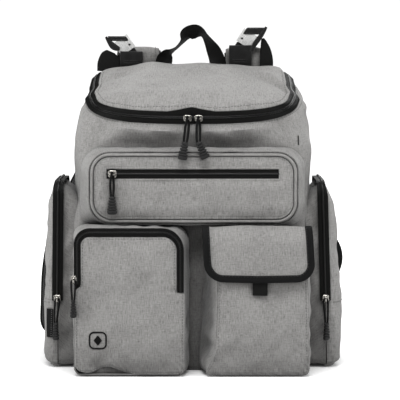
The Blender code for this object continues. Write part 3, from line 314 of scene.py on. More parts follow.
def woven_black(name, tone, rib, across=False, roughness=0.62, chevron=False, bump=0.6):
    """Black tape or webbing: fine ribs and paler worn threads."""
    m = Nodes(name)
    u, v, _ = m.split(m.uv)
    if chevron:
        ribs = m.wave(m.math("ADD", v, m.math("PINGPONG", u, 0.0042)), rib)
    else:
        ribs = m.wave(v if across else u, rib)
    thread = m.noise(m.scaled(m.uv, 900, 220), detail=2.0)
    wear = m.noise(m.scaled(m.uv, 60, 35), detail=3.0)
    # weights in the tone: thread 0.5, ribs 0.35, wear 0.3
    mix = m.math("MULTIPLY_ADD", ribs, 0.35, m.math("MULTIPLY", wear, 0.3))
    mix = m.math("MULTIPLY_ADD", thread, 0.5, mix)
    base = m.ramp(mix, [(0.25, [c * 0.5 for c in tone]), (0.6, tone),
                        (1.0, [min(1, c * 1.6) for c in tone])])
    m.bump(m.math("MULTIPLY_ADD", ribs, 1.0, thread), strength=bump, distance=0.0004)
    return m.finish(Base_Color=base, Roughness=roughness, Specular_IOR_Level=0.14)


def spacer_mesh(name):
    """Knitted mesh of open cells about 3 mm across."""
    m = Nodes(name)
    cells = m.new("ShaderNodeTexVoronoi", feature="DISTANCE_TO_EDGE")
    m.put(cells.inputs["Vector"], m.uv)
    cells.inputs["Scale"].default_value = 330
    cells.inputs["Randomness"].default_value = 0.25
    edge = m.math("MULTIPLY", cells.outputs[0], 3.2)
    mottle = m.noise(m.scaled(m.uv, 90, 90), detail=2.0)
    base = m.ramp(m.math("MULTIPLY_ADD", mottle, 0.3, edge), [
        (0.1, (0.055, 0.055, 0.057)), (0.5, (0.022, 0.022, 0.023)), (1.0, (0.006, 0.006, 0.006))])
    m.bump(m.math("SUBTRACT", 1.0, edge), strength=0.8, distance=0.0008)
    return m.finish(Base_Color=base, Roughness=0.85, Sheen_Weight=0.25)


def solid(name, grey, roughness, grain, bump):
    """Plain plastic, rubber or thread, faintly smeared."""
    tone = grey if isinstance(grey, tuple) else (grey,) * 3
    m = Nodes(name)
    fine = m.noise(m.obj, scale=grain, detail=3.0)
    smear = m.noise(m.obj, scale=90, detail=2.0)
    base = m.ramp(smear, [(0.2, [c * 0.6 for c in tone]), (0.8, [c * 1.5 for c in tone])])
    m.bump(fine, strength=bump, distance=0.0002)
    return m.finish(Base_Color=base, Specular_IOR_Level=0.32,
                    Roughness=m.math("MULTIPLY_ADD", smear, 0.25, roughness - 0.10))


def metal(name):
    m = Nodes(name)
    brush = m.noise(m.scaled(m.obj, 4000, 4000, 300), detail=2.0)
    spots = m.noise(m.obj, scale=500, detail=2.0)
    base = m.ramp(spots, [(0.2, (0.21, 0.20, 0.18)), (0.8, (0.62, 0.60, 0.56))])
    m.bump(brush, strength=0.12, distance=0.0001)
    return m.finish(Base_Color=base, Metallic=1.0,
                    Roughness=m.math("MULTIPLY_ADD", spots, 0.25, 0.14))


def ripstop(name):
    """Thin cloth with a 5 mm grid of thicker threads."""
    m = Nodes(name)
    u, v, _ = m.split(m.uv)
    lines = [m.math("POWER", m.wave(axis, 0.005), 24.0) for axis in (u, v)]
    grid = m.math("MAXIMUM", *lines)
    weave = m.noise(m.scaled(m.uv, 1500, 1500), detail=1.0)
    base = m.ramp(m.math("MULTIPLY_ADD", weave, 0.35, m.math("MULTIPLY", grid, 0.5)),
                  [(0.1, (0.055, 0.057, 0.062)), (0.8, (0.13, 0.135, 0.145))])
    m.bump(m.math("ADD", grid, weave), strength=0.4, distance=0.0003)
    return m.finish(Base_Color=base, Roughness=0.55, Sheen_Weight=0.2)


GREY = heather("heather_fabric", dark=(0.138, 0.135, 0.130), light=(0.405, 0.398, 0.388))
TONGUE = heather("heather_strap", dark=(0.40, 0.40, 0.395), light=(0.86, 0.86, 0.85))
TAPE = woven_black("zip_tape_weave", (0.0032, 0.0032, 0.0029), rib=0.0013, bump=0.3,
                   roughness=0.55)
BIND = woven_black("grosgrain_binding", (0.0053, 0.0053, 0.0055), rib=0.0012, across=True,
                   bump=0.4)
WEB = woven_black("webbing_chevron", (0.0062, 0.0062, 0.0059), rib=0.0022, chevron=True, bump=0.3)
COIL = solid("zip_coil_nylon", (0.0042, 0.0042, 0.0040), roughness=0.4, grain=2500, bump=0.2)
MESH = spacer_mesh("air_mesh")
NICKEL = metal("nickel_plate")
RUBBER = solid("moulded_rubber", 0.0120, roughness=0.55, grain=1800, bump=0.35)
CORD = woven_black("braided_cord", (0.0060, 0.0060, 0.0060), rib=0.0011, across=True, bump=0.8)
PLASTIC = solid("acetal_plastic", 0.0073, roughness=0.42, grain=2600, bump=0.2)
LINING = ripstop("lining_ripstop")
THREAD = solid("grey_thread", (0.16, 0.16, 0.158), roughness=0.7, grain=3000, bump=0.3)
THREAD_BLACK = solid("black_thread", 0.02, roughness=0.6, grain=3000, bump=0.3)


# ------------------------------------------------------------------ meshes
def add_object(name, mesh):
    obj = bpy.data.objects.new(name, mesh)
    bpy.context.scene.collection.objects.link(obj)
    return obj


def smooth(mesh, crease):
    mesh.shade_smooth()
    mesh.set_sharp_from_angle(angle=radians(crease))


def build(name, verts, faces, uvs, mats, index=None, crease=50):
    mesh = bpy.data.meshes.new(name)
    mesh.from_pydata([tuple(v) for v in verts.tolist()], [], faces)
    layer = mesh.uv_layers.new(name="UVMap")
    corners = [np.asarray(uv, np.float32).reshape(-1) for uv in uvs]
    layer.data.foreach_set("uv", np.concatenate(corners))
    for mat in mats:
        mesh.materials.append(mat)
    if index is not None:
        mesh.polygons.foreach_set("material_index", index)
    mesh.validate()
    bm = bmesh.new()
    bm.from_mesh(mesh)
    bmesh.ops.remove_doubles(bm, verts=bm.verts, dist=1e-7)
    bmesh.ops.recalc_face_normals(bm, faces=bm.faces)
    bm.to_mesh(mesh)
    bm.free()
    smooth(mesh, crease)
    return add_object(name, mesh)


def quads(rows, cols, loop):
    r = np.arange(rows - 1)[:, None]
    c = np.arange(cols if loop else cols - 1)[None, :]
    after = (c + 1) % cols
    corners = [r * cols + c, r * cols + after, (r + 1) * cols + after, (r + 1) * cols + c]
    return np.stack(corners, -1).reshape(-1, 4)


def grid_uv(grid, loop, kind):
    """UVs in metres: flat ("xz", "yz", "xy") or measured along the cloth ("arc")."""
    if kind != "arc":
        uv = grid[..., ["xyz".index(letter) for letter in kind]]
        return np.concatenate([uv, uv[:, :1]], 1) if loop else uv
    if loop:
        grid = np.concatenate([grid, grid[:, :1]], 1)
    rows, cols = grid.shape[:2]
    steps_u = np.linalg.norm(np.diff(grid, axis=1), axis=2)
    steps_v = np.linalg.norm(np.diff(grid, axis=0), axis=2)
    u = np.concatenate([np.zeros((rows, 1)), np.cumsum(steps_u, 1)], 1)
    u -= u[:, -1:] / 2
    v = np.concatenate([np.zeros((1, cols)), np.cumsum(steps_v, 0)], 0)
    return np.stack([u, v], -1)


def quad_uv(uv):
    return np.stack([uv[:-1, :-1], uv[:-1, 1:], uv[1:, 1:], uv[1:, :-1]], 2).reshape(-1, 4, 2)


def outward(grid, inside, loop=False):
    """Normals of a grid, turned away from a point on its inner side."""
    if loop:
        wrapped = np.concatenate([grid[:, -1:], grid, grid[:, :1]], 1)
        along_row = wrapped[:, 2:] - wrapped[:, :-2]
    else:
        along_row = np.gradient(grid, axis=1)
    normal = unit(np.cross(along_row, np.gradient(grid, axis=0)))
    return -normal if ((grid - np.array(inside)) * normal).sum() < 0 else normal


def sheet(name, grid, thick, mat, inside, loop=False, uv="arc", inner=None, weld=False):
    """Cloth of some thickness. grid is the outer face; inside is a point on its inner side."""
    grid = np.asarray(grid, float)
    rows, cols = grid.shape[:2]
    normal = outward(grid, inside, loop)
    if weld:  # the last row meets its own mirror image, so the two sides share directions there
        key = np.round(grid[-1] * 1e5).astype(int)
        _, group = np.unique(key, axis=0, return_inverse=True)
        group = group.reshape(-1)
        total = np.zeros((group.max() + 1, 3))
        np.add.at(total, group, normal[-2])
        normal[-1] = unit(total[group])
    verts = np.vstack([grid.reshape(-1, 3), (grid - normal * thick).reshape(-1, 3)])
    outer = quads(rows, cols, loop)
    count = rows * cols
    uv_grid = grid_uv(grid, loop, uv)
    uv_quads = quad_uv(uv_grid)
    edge = []
    for r in (0,) if weld else (0, rows - 1):
        row = np.arange(r * cols, r * cols + cols)
        after = np.roll(row, -1)
        used = cols if loop else cols - 1
        row, after = row[:used], after[:used]
        edge.append(np.stack([row, after, after + count, row + count], -1))
    if not loop:
        for c in (0, cols - 1):
            col = np.arange(rows) * cols + c
            edge.append(np.stack([col[:-1], col[1:], col[1:] + count, col[:-1] + count], -1))
    edge = np.vstack(edge)
    flat = uv_grid[:, :cols].reshape(-1, 2)
    faces = np.vstack([outer, outer[:, ::-1] + count, edge])
    index = np.zeros(len(faces), int)
    if inner:
        index[len(outer):2 * len(outer)] = 1
    mats = [mat, inner] if inner else [mat]
    uvs = [uv_quads, uv_quads[:, ::-1], flat[edge % count]]
    return build(name, verts, faces.tolist(), uvs, mats, index)


def section(kind, steps):
    """Unit cross-section, anticlockwise: points in [-0.5, 0.5] across and through."""
    a = np.linspace(0, 2 * PI, steps, endpoint=False)
    if kind == "round":
        return np.stack([cos(a), sin(a)], -1) * 0.5
    n = {"flat": 9.0, "pad": 3.0, "soft": 4.0}[kind]
    points = np.stack([superpower(cos(a), n), superpower(sin(a), n)], -1) * 0.5
    return resample(points, steps, closed=True)


def capped(rings, ring_uv):
    """Vertices of a tube of rings, and the fans of triangles that close its two ends."""
    rows, cols = rings.shape[:2]
    flat = rings.reshape(-1, 3)
    verts = np.vstack([flat, rings[0].mean(0)[None], rings[-1].mean(0)[None]])
    faces, uvs = [], []
    for row, order, middle in ((0, -1, len(flat)), (rows - 1, 1, len(flat) + 1)):
        ring = [row * cols + i for i in range(cols)][::order]
        corner = ring_uv[row, :cols][::order]
        for i in range(cols):
            after = (i + 1) % cols
            faces.append([ring[i], ring[after], middle])
            uvs.append(np.array([corner[i], corner[after], corner.mean(0)]))
    return verts, faces, uvs


def sweep(name, centre, width, thick, mats, across=None, kind="round", steps=20, loop=False,
          pick=None, puff=None):
    """A closed section carried along a centre line. across gives the way the width runs. pick
    chooses a material by section point; puff(rings, through, outline) moves the points."""
    centre = np.asarray(centre, float)
    count = len(centre)
    if loop:
        tangent = unit(np.roll(centre, -1, 0) - np.roll(centre, 1, 0))
    else:
        tangent = unit(np.gradient(centre, axis=0))
    if across is None:  # carried along without twisting
        wide = np.zeros_like(tangent)
        start = np.array([1.0, 0, 0]) if abs(tangent[0, 0]) < 0.8 else np.array([0, 1.0, 0])
        wide[0] = unit(start - (start @ tangent[0]) * tangent[0])
        for i in range(1, count):
            wide[i] = unit(wide[i - 1] - (wide[i - 1] @ tangent[i]) * tangent[i])
    else:
        wide = np.broadcast_to(np.asarray(across, float), tangent.shape)
        wide = unit(wide - (wide * tangent).sum(-1, keepdims=True) * tangent)
    through = unit(np.cross(tangent, wide))
    outline = section(kind, steps)
    width = np.broadcast_to(np.asarray(width, float), (count,))[:, None, None]
    thick = np.broadcast_to(np.asarray(thick, float), (count,))[:, None, None]
    rings = (centre[:, None] + wide[:, None] * outline[None, :, :1] * width
             + through[:, None] * outline[None, :, 1:] * thick)
    if puff is not None:
        rings = puff(rings, through, outline)
    uv = grid_uv(np.concatenate([rings, rings[:1]], 0) if loop else rings, True, "arc")
    if loop:
        verts = rings.reshape(-1, 3)
        faces = (quads(count + 1, steps, True) % (count * steps)).tolist()
        uvs = [quad_uv(uv)]
    else:
        verts, cap_faces, cap_uvs = capped(rings, uv)
        faces = quads(count, steps, True).tolist() + cap_faces
        uvs = [quad_uv(uv)] + cap_uvs
    index = None
    if pick is not None:
        cols = np.array([pick(*((outline[i] + outline[(i + 1) % steps]) / 2))
                         for i in range(steps)])
        index = np.r_[np.tile(cols, count - 1), np.full(2 * steps, cols[0])]
    mats = mats if isinstance(mats, list) else [mats]
    return build(name, verts, faces, uvs, mats, index, crease=60)


def lathe(name, profile, mat, steps=28, flat=1.0):
    """(radius, z) turned about Z, flattened in Y."""
    a = np.linspace(0, 2 * PI, steps, endpoint=False)
    r = np.array([max(p[0], 1e-6) for p in profile])[:, None]
    z = np.array([p[1] for p in profile])[:, None]
    rings = grid_of(r * cos(a), r * sin(a) * flat, z)
    faces = quads(len(r), steps, True).tolist()
    uvs = [quad_uv(grid_uv(rings, True, "arc"))]
    return build(name, rings.reshape(-1, 3), faces, uvs, [mat], crease=60)


def rbox(name, low, high, mat, radius):
    """A box with rounded edges between two corners."""
    bm = bmesh.new()
    bmesh.ops.create_cube(bm, size=1.0)
    low, high = Vector(low), Vector(high)
    for v in bm.verts:
        v.co = Vector([low[i] + (v.co[i] + 0.5) * (high[i] - low[i]) for i in range(3)])
    bmesh.ops.bevel(bm, geom=bm.edges, offset=radius, segments=3, profile=0.5, affect="EDGES")
    long_edges = [e for e in bm.edges if e.calc_length() > 0.004]
    bmesh.ops.subdivide_edges(bm, edges=long_edges, cuts=2, use_grid_fill=True)
    uv = bm.loops.layers.uv.new("UVMap")
    for face in bm.faces:
        for corner in face.loops:
            corner[uv].uv = (corner.vert.co.x, corner.vert.co.z)
    mesh = bpy.data.meshes.new(name)
    bm.to_mesh(mesh)
    bm.free()
    mesh.materials.append(mat)
    smooth(mesh, crease=40)
    return add_object(name, mesh)


def join(objs, name):
    """One mesh from several, materials kept."""
    bm = bmesh.new()
    bm.loops.layers.uv.new("UVMap")
    mats = []
    for obj in objs:
        mesh = obj.data
        mesh.transform(obj.matrix_world)
        remap = []
        for mat in mesh.materials:
            if mat not in mats:
                mats.append(mat)
            remap.append(mats.index(mat))
        index = [remap[p.material_index] for p in mesh.polygons]
        mesh.polygons.foreach_set("material_index", index)
        bm.from_mesh(mesh)
    mesh = bpy.data.meshes.new(name)
    bm.to_mesh(mesh)
    bm.free()
    for mat in mats:
        mesh.materials.append(mat)
    for obj in objs:
        bpy.data.objects.remove(obj, do_unlink=True)
    return add_object(name, mesh)


def stitches(name, lines, mat=THREAD, pitch=0.0042, length=0.0029, radius=0.00036, lift=0.0002):
    """Short thread runs along lines of (points, outward directions)."""
    verts, faces = [], []
    ring = [(cos(a), sin(a)) for a in np.linspace(0, 2 * PI, 6, endpoint=False)]
    for points, out in lines:
        points, out = np.asarray(points, float), np.asarray(out, float)
        run = run_length(points)
        out = np.broadcast_to(out, points.shape)
        at = pitch / 2
        while at + length < run[-1]:
            spots = [(np.array([np.interp(q, run, column) for column in points.T]),
                      unit(np.array([np.interp(q, run, column) for column in out.T])))
                     for q in (at, at + length * 0.5, at + length)]
            along = unit(spots[2][0] - spots[0][0])
            first = len(verts)
            # thin ends at the cloth, full and lifted in the middle
            for (spot, up), size, rise in zip(spots, (0.35, 1.0, 0.35), (0.0, lift, 0.0)):
                side = np.cross(along, up)
                for c, s in ring:
                    verts.append(spot + up * (rise + radius * size * s)
                                 + side * radius * size * 1.2 * c)
            for base in (first, first + 6):
                for i in range(6):
                    after = (i + 1) % 6
                    faces.append([base + i, base + after, base + 6 + after, base + 6 + i])
            faces.append([first + i for i in range(6)][::-1])
            faces.append([first + 12 + i for i in range(6)])
            at += pitch
    uvs = [np.zeros((len(f), 2)) for f in faces]
    return build(name, np.array(verts), faces, uvs, [mat], crease=80)


def place(obj, *nodes, body="bag", slot="heather_grey"):
    """Tell the frame which body carries a piece and which CAD nodes it replaces."""
    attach(obj, body)
    if nodes:
        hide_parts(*nodes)


def bridge(obj, moving, pins, *nodes, slot="heather_grey"):
    """A piece that lies between the bag and a moving body: hides the CAD nodes it replaces and bakes
    its transform. moving and pins are not used.
    """
    if nodes:
        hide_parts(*nodes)
    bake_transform(obj)


# ------------------------------------------------------------------ the body's shape
FRONT_Y, BACK_Y = -0.085, 0.085
TAPE_W = 0.0074  # main zip: each tape's width
COLS = 281  # points round the body, from its back left to its back right
BAG_CENTRE = (0, 0.02, 0.2)
TABLE_Z = np.linspace(-0.03, 0.47, 501)


def smooth_table(heights, values):
    padded = np.pad(np.interp(TABLE_Z, heights, values), 6, mode="edge")
    return np.convolve(padded, np.ones(13) / 13, mode="valid")


HALF_WIDTHS = smooth_table([0.0, 0.10, 0.22, 0.30, 0.345, 0.352, 0.43],
                           [0.162, 0.1670, 0.1665, 0.1620, 0.1545, 0.1512, 0.1470])
SQUARENESS = smooth_table([0.0, 0.28, 0.345, 0.352, 0.43], [6.0, 5.2, 3.4, 3.0, 2.9])


def half_width(z):
    return np.interp(z, TABLE_Z, HALF_WIDTHS)


def squareness(z):
    """Exponent of the plan's superellipse."""
    return np.interp(z, TABLE_Z, SQUARENESS)


def zip_z(y):
    """The main zip rises towards the back."""
    return 0.352 + 0.33 * (y - FRONT_Y)


def plan_curve(half_x, back_half_x, front_y, back_y, n):
    """Plan line: a half superellipse in front, nearly straight sides behind."""
    t = np.linspace(PI, 2 * PI, 400)
    x = superpower(cos(t), n) * half_x
    y = -np.abs(sin(t)) ** (2 / n) * -front_y
    left = np.stack([np.linspace(-back_half_x, x[0], 40), np.linspace(back_y, 0, 40)], -1)[:-1]
    return np.vstack([left, np.stack([x, y], -1), left[::-1] * np.array([-1, 1])])


def body_y(x, z):
    """Depth of the body's front at (x, z)."""
    n = squareness(z)
    return FRONT_Y * np.maximum(0.0, 1 - np.minimum(np.abs(x) / half_width(z), 1.0) ** n) ** (1 / n)


def zip_frame():
    """Main zip: its centre line, the direction across the tape, and outward from it."""
    plan = resample(plan_curve(0.1472, 0.1440, FRONT_Y - 0.0003, 0.0770, 2.75), COLS)
    y = plan[:, 1]
    tangent = unit(np.gradient(plan, axis=0))
    out = unit(np.stack([tangent[:, 1], -tangent[:, 0]], -1))
    out *= np.sign((out * (plan - np.array([0, 0.03]))).sum(-1))[:, None]
    # the tape stands upright at the front and leans inwards at the sides
    side = np.abs(out[:, 0]) ** 2.2 * ease(y, -0.086, 0.03)
    lean = radians(52) * side
    # a small kink where the tape is pinched near the middle of each side
    kink = 0.0016 * (bell(y, 0.022, 0.010) - 1.2 * bell(y, -0.004, 0.011))
    centre = plan - out * (0.0045 * side + kink * side)[:, None]
    return (np.column_stack([centre, zip_z(y)]),
            np.column_stack([-out * sin(lean)[:, None], cos(lean)]),
            np.column_stack([out * cos(lean)[:, None], sin(lean)]))


ZIP_CENTRE, ZIP_ACROSS, ZIP_OUT = zip_frame()
# the upper tape widens to a peak in the middle of the front
PEAK = (0.0062 * np.maximum(0, 1 - np.abs(ZIP_CENTRE[:, 0] + 0.001) / 0.034) ** 1.2
        * (ZIP_CENTRE[:, 1] < -0.06))
LOW_EDGE = ZIP_CENTRE - ZIP_ACROSS * (TAPE_W + 0.0006)
HIGH_EDGE = ZIP_CENTRE + ZIP_ACROSS * (TAPE_W + PEAK)[:, None]
EDGE_Z = LOW_EDGE[:, 2]

LEVELS = np.linspace(0.0, 0.46, 93)
LEVEL_STEP = LEVELS[1] - LEVELS[0]
PLANS = np.stack([
    resample(plan_curve(half_width(z), half_width(z) - 0.004, FRONT_Y, BACK_Y,
                        float(squareness(z))), COLS) for z in LEVELS])


def body_at(z):
    """Body plan points for a height per column."""
    level = np.clip(z / LEVEL_STEP, 0, len(LEVELS) - 1.001)
    below = level.astype(int)
    part = (level - below)[:, None]
    cols = np.arange(COLS)
    return PLANS[below, cols] * (1 - part) + PLANS[below + 1, cols] * part


def wall_rings(rows, low, high, zip_share):
    """Rings from a low height up to high (per column), drawn to the zip above zip_share."""
    rings = []
    for t in np.linspace(0, 1, rows):
        z = low + (high - low) * t
        drawn = float(ease(t, zip_share, 0.14))
        rings.append(np.column_stack([body_at(z) * (1 - drawn) + LOW_EDGE[:, :2] * drawn, z]))
    return np.array(rings)


# ------------------------------------------------------------------ main body
BODY_ROWS = 130
BODY_FOOT = 0.0034
body = wall_rings(BODY_ROWS, BODY_FOOT, EDGE_Z, 0.86)
body_out = outward(body, BAG_CENTRE)
x, y, z = axes(body)
down = 1 - np.linspace(0, 1, BODY_ROWS)[:, None]  # share of the height below the zip
front = ease(-y, 0.066, 0.016)
side = ease(np.abs(x), 0.120, 0.03)
column = np.arange(COLS)[None, :]
push = 0.0011 * SOFT(body) + 0.0006 * SIDEWAYS(body)
# the brow between the zip and the upper pocket swells out, then tucks in above the pocket
brow = sin(PI * np.clip((z - 0.3065) / (0.3480 - 0.3065), 0, 1) ** 2.1) ** 0.8
brow_reach = 1 - ease(np.abs(x + 0.002), 0.118, 0.036)
middle_dip = 1 - 0.42 * bell(x, -0.012, 0.022)
swell = 0.0125 + 0.0014 * sin(x / 0.021) + 0.0009 * SIDEWAYS(body * 1.3)
push += front * brow * brow_reach * middle_dip * swell
# soft hollows on the brow's lower part, left and right of the pulls
hollows = bell(x, -0.085, 0.042) + 0.9 * bell(x, 0.082, 0.045)
push -= front * 0.0024 * bell(z, 0.3160, 0.0070) * hollows
# slanting ripples on the brow
ripples = sin((x * 0.8 + z) / 0.0068) * bell(z, 0.333, 0.012) * bell(np.abs(x), 0.055, 0.03)
push += front * 0.0016 * ripples
# the flanks: soft slack, and fullness at the shoulders
push += side * 0.0014 * sin(z / 0.019 + 2.2 * sin(y / 0.05)) * bell(z, 0.20, 0.14)
push += side * (0.0100 * bell(z, 0.344, 0.029) + 0.0026 * bell(z, 0.305, 0.028))
# puckers into the top seam, the tuck at the foot, and the groove of the zip's stitch line
puckers = sin(column * 0.82 + 1.7 * sin(column * 0.13))
push += 0.0007 * puckers * exp(-down * (EDGE_Z - 0.003) / 0.010)
push -= 0.0022 * exp(-(z - 0.003) / 0.006)
push -= 0.0010 * bell(down * 0.34, 0.0045, 0.0016)
# the cloth billows out past the zip at the right shoulder
billow = side * ease(x, 0, 0.05) * 0.0082 * bell(z, 0.376, 0.019) * ease(down, 0, 0.016)
push = push * ease(down, 0, 0.035) + billow
body = body + body_out * (push * ease(0.083 - y, 0, 0.02))[..., None]
place(sheet("body_fabric", body, 0.0024, GREY, BAG_CENTRE, inner=LINING), "body_wrap")

row = int(BODY_ROWS * 0.985)
seam_out = body_out[row, 4:-4]
place(stitches("body_zip_stitching", [(body[row, 4:-4] + seam_out * 0.0001, seam_out)]))

# an upright bartack on the brow's right end
TACK_X = 0.1472
spots = []  # y, z and outward direction of the body where it crosses TACK_X
middle_z = body[:, COLS // 2, 2]
for row in np.where((middle_z > 0.300) & (middle_z < 0.340))[0]:
    chosen = np.where((body[row, :, 0] > 0.10) & (body[row, :, 1] < 0))[0]
    chosen = chosen[np.argsort(body[row, chosen, 0])]
    values = np.hstack([body[row, chosen, 1:], body_out[row, chosen]])
    spots.append([np.interp(TACK_X, body[row, chosen, 0], value) for value in values.T])
spots = np.array(sorted(spots, key=lambda spot: spot[1]))
tack_z = np.linspace(0.3125, 0.3262, 18)
tack = grid_of(TACK_X, np.interp(tack_z, spots[:, 1], spots[:, 0]) - 0.0002, tack_z)
place(stitches("body_bartack", [(tack, spots[len(spots) // 2, 2:])], THREAD_BLACK, pitch=0.0011,
               length=0.0009, radius=0.0009))

# base panel: a slab with its rounded rim, rings of (scale, z) from the rim inwards
ring = resample(plan_curve(0.1585, 0.1545, FRONT_Y + 0.0012, BACK_Y - 0.001, 6.0), 160)
BASE_RINGS = [(1.0, 0.0032), (1.0, 0.0012), (0.992, 0.0003), (0.97, 0.0), (0.9, 0.0), (0.7, 0.0),
              (0.4, 0.0), (0.05, 0.0)]
base = np.array([grid_of(ring[:, 0] * scale, (ring[:, 1] - 0.01) * scale + 0.01, z)
                 for scale, z in BASE_RINGS])
place(sheet("base_fabric", base, 0.0022, GREY, (0, 0, 0.05), uv="xy"), "bottom_panel")

# lining: a loose inner bag, its top edge sewn to the zip
wall = wall_rings(60, 0.0075, EDGE_Z - 0.0040, 0.84)
wall_out = outward(wall, BAG_CENTRE)
loose = 0.0040 + 0.0016 * (1 + CRUMPLE(wall * 0.8)) * bell(wall[..., 2], 0.2, 0.14)
wall -= wall_out * loose[..., None]
wall[..., 1] = np.minimum(wall[..., 1], 0.0825)
FLOOR_ROWS = 14
floor_rings = []
for i in range(FLOOR_ROWS):
    scale = 0.04 + 0.96 * i / FLOOR_ROWS
    ring = wall[0].copy()
    ring[:, :2] = ring[:, :2] * scale + np.array([0, 0.01]) * (1 - scale)
    crumple = 0.0006 * CRUMPLE(ring) * (1 - scale)
    ring[:, 2] = 0.0062 + 0.0013 * ease(scale, 0.85, 0.15) + crumple
    floor_rings.append(ring)
lining = sheet("lining_cloth", np.concatenate([floor_rings, wall]), 0.0006, LINING,
               (0, 0.6, 0.9))
place(lining, "lining", slot="lining_fabric")

# ------------------------------------------------------------------ back: three air-mesh pads
BACK_Z0, BACK_Z1 = 0.0038, 0.4095
BACK_OUTLINE = np.array([  # z, half width
    (0.0, 0.158), (0.06, 0.1605), (0.14, 0.1625), (0.22, 0.1620), (0.28, 0.160), (0.315, 0.1565),
    (0.345, 0.1505), (0.380, 0.1475), (0.395, 0.141), (0.404, 0.132), (0.4095, 0.118)])
PADS = [(-0.142, -0.020, 0.150, 0.388), (0.020, 0.142, 0.150, 0.388),
        (-0.146, 0.146, 0.026, 0.128)]  # x0, x1, z0, z1
rows_z = np.linspace(BACK_Z0, BACK_Z1, 150)[:, None]
across = np.linspace(-1, 1, 131)
half = np.interp(rows_z, *BACK_OUTLINE.T)
x = half * across
z = rows_z + 0.0035 * (1 - np.abs(across) ** 2.2) * ease(rows_z, 0.36, 0.05)
edge = np.minimum.reduce([half - np.abs(x), z - BACK_Z0, 0.413 - z])
pads = np.maximum.reduce([
    ease(np.minimum.reduce([x - x0, x1 - x, z - z0, z1 - z]), 0, 0.012) ** 0.7
    for x0, x1, z0, z1 in PADS])
y = (BACK_Y + 0.0008 + 0.0024 * ease(edge, 0, 0.006) + 0.0058 * pads
     + 0.0004 * SOFT(grid_of(x, 0, z)))
y -= 0.0034 * ease(z, 0.372, 0.016) * pads
back = sheet("back_padding", grid_of(x, y, z), 0.0026, MESH, (0, 0.0, 0.2), uv="xz", inner=LINING)
place(back, "back_panel", slot="spacer_mesh")
half = half[:, 0]
rim = grid_of(np.r_[half, -half[::-1]], BACK_Y + 0.0010, np.r_[z[:, -1], z[::-1, 0]])
place(sweep("back_binding", resample(rim, 220), 0.0058, 0.0052, BIND, steps=12),
      slot="black_webbing")

# ------------------------------------------------------------------ main zip
# name, inner and outer edge from the centre line, bow, body, CAD node
tooth_gap = 0.0006
for name, low, high, bow, carrier, node in (
        ("main_zip_tape_lower", ZIP_CENTRE - ZIP_ACROSS * (TAPE_W + 0.0012),
         ZIP_CENTRE - ZIP_ACROSS * tooth_gap, 0.0005, "bag", "body_zip_tape"),
        ("main_zip_tape_upper", ZIP_CENTRE + ZIP_ACROSS * tooth_gap,
         HIGH_EDGE + ZIP_ACROSS * 0.0008, 0.0006, "lid", "lid_zip_tape")):
    t = np.linspace(0, 1, 9)[:, None, None]
    tape = low[None] * (1 - t) + high[None] * t + ZIP_OUT[None] * (bow * sin(PI * t))
    tape = sheet(name, tape + ZIP_OUT[None] * 0.0011, 0.0012, TAPE, (0, 0.02, 0.36))
    place(tape, node, body=carrier, slot="black_tape")
for name, offset, carrier in (("main_zip_coil_lower", -0.0011, "bag"),
                              ("main_zip_coil_upper", 0.0011, "lid")):
    line = ZIP_CENTRE + ZIP_ACROSS * offset + ZIP_OUT * 0.0014
    place(sweep(name, line, 0.0019, 0.0017, COIL, steps=10), body=carrier, slot="black_tape")

# ------------------------------------------------------------------ lid
# rho runs from 1 at the zip to 0 at the middle line, where the two halves are welded
rho = np.r_[1.0, 0.997, 0.992, np.linspace(0.985, 0.90, 9), np.linspace(0.88, 0.0, 47)][:, None]
edge_x, edge_y, edge_z = HIGH_EDGE.T
lid = grid_of(edge_x * rho, np.where(edge_y < 0, edge_y * rho, edge_y), 0.0)
x, y, z = axes(lid)
behind = np.maximum(y, 0)
crown = np.where(y < 0, 1.0, 1.0 - 0.36 * behind / 0.08 * np.sqrt(behind / 0.08))
rise = 0.0172 * crown * np.maximum(0, 1 - rho**3.0) ** 0.60
rim_offset = (edge_z - zip_z(edge_y))[None, :]
z[...] = zip_z(y) + rim_offset * rho**3 + (TAPE_W + 0.0006) * (1 - rho**3) + rise
inner = 1 - rho
soft = ease(inner, 0, 0.05)
z += soft * (0.0010 * SOFT(lid) + 0.0006 * SIDEWAYS(lid * 1.2))
# a shallow valley across the lid
valley = exp(-(((y - 0.012) + 0.12 * np.abs(x)) / 0.016) ** 2)
z -= soft * 0.0026 * valley * (1 - 0.5 * bell(x, 0.0, 0.05))
# a crease at each back corner, a ridge beside a dent.
# side; line through x, y with slopes; ridge height, width, start; dent depth, offset, width, start
for side, x0, y0, slope_x, slope_y, ridge, dent in (
        (1, 0.098, 0.040, 0.62, 0.78, (0.0036, 0.0060, 0.075), (0.0040, 0.013, 0.0085, 0.070)),
        (-1, 0.105, 0.045, 0.55, 0.83, (0.0028, 0.0065, 0.085), (0.0030, 0.014, 0.009, 0.08))):
    line = (side * x - x0) * slope_x + (y - y0) * slope_y
    height, width, start = ridge
    z += soft * height * bell(line, 0, width) * ease(side * x, start, 0.03)
    depth, offset, width, start = dent
    z -= soft * depth * bell(line, -offset, width) * ease(side * x, start, 0.03)
z -= soft * 0.0018 * bell(x, 0.0, 0.018) * ease(y, 0.045, 0.03)
# puckers along the zip
puckers = sin(column * 0.9 + 1.4 * sin(column * 0.17))
z += 0.0007 * puckers * exp(-inner / 0.05) * ease(inner, 0, 0.012)
LID_INSIDE = (0, 0.0, 0.2)
place(sheet("lid_fabric", lid, 0.0024, GREY, LID_INSIDE, uv="xy", inner=LINING, weld=True),
      "lid_panel", body="lid")
seam_out = outward(lid, LID_INSIDE)[5, 3:-3]
place(stitches("lid_zip_stitching", [(lid[5, 3:-3] + seam_out * 0.0001, seam_out)]), body="lid")

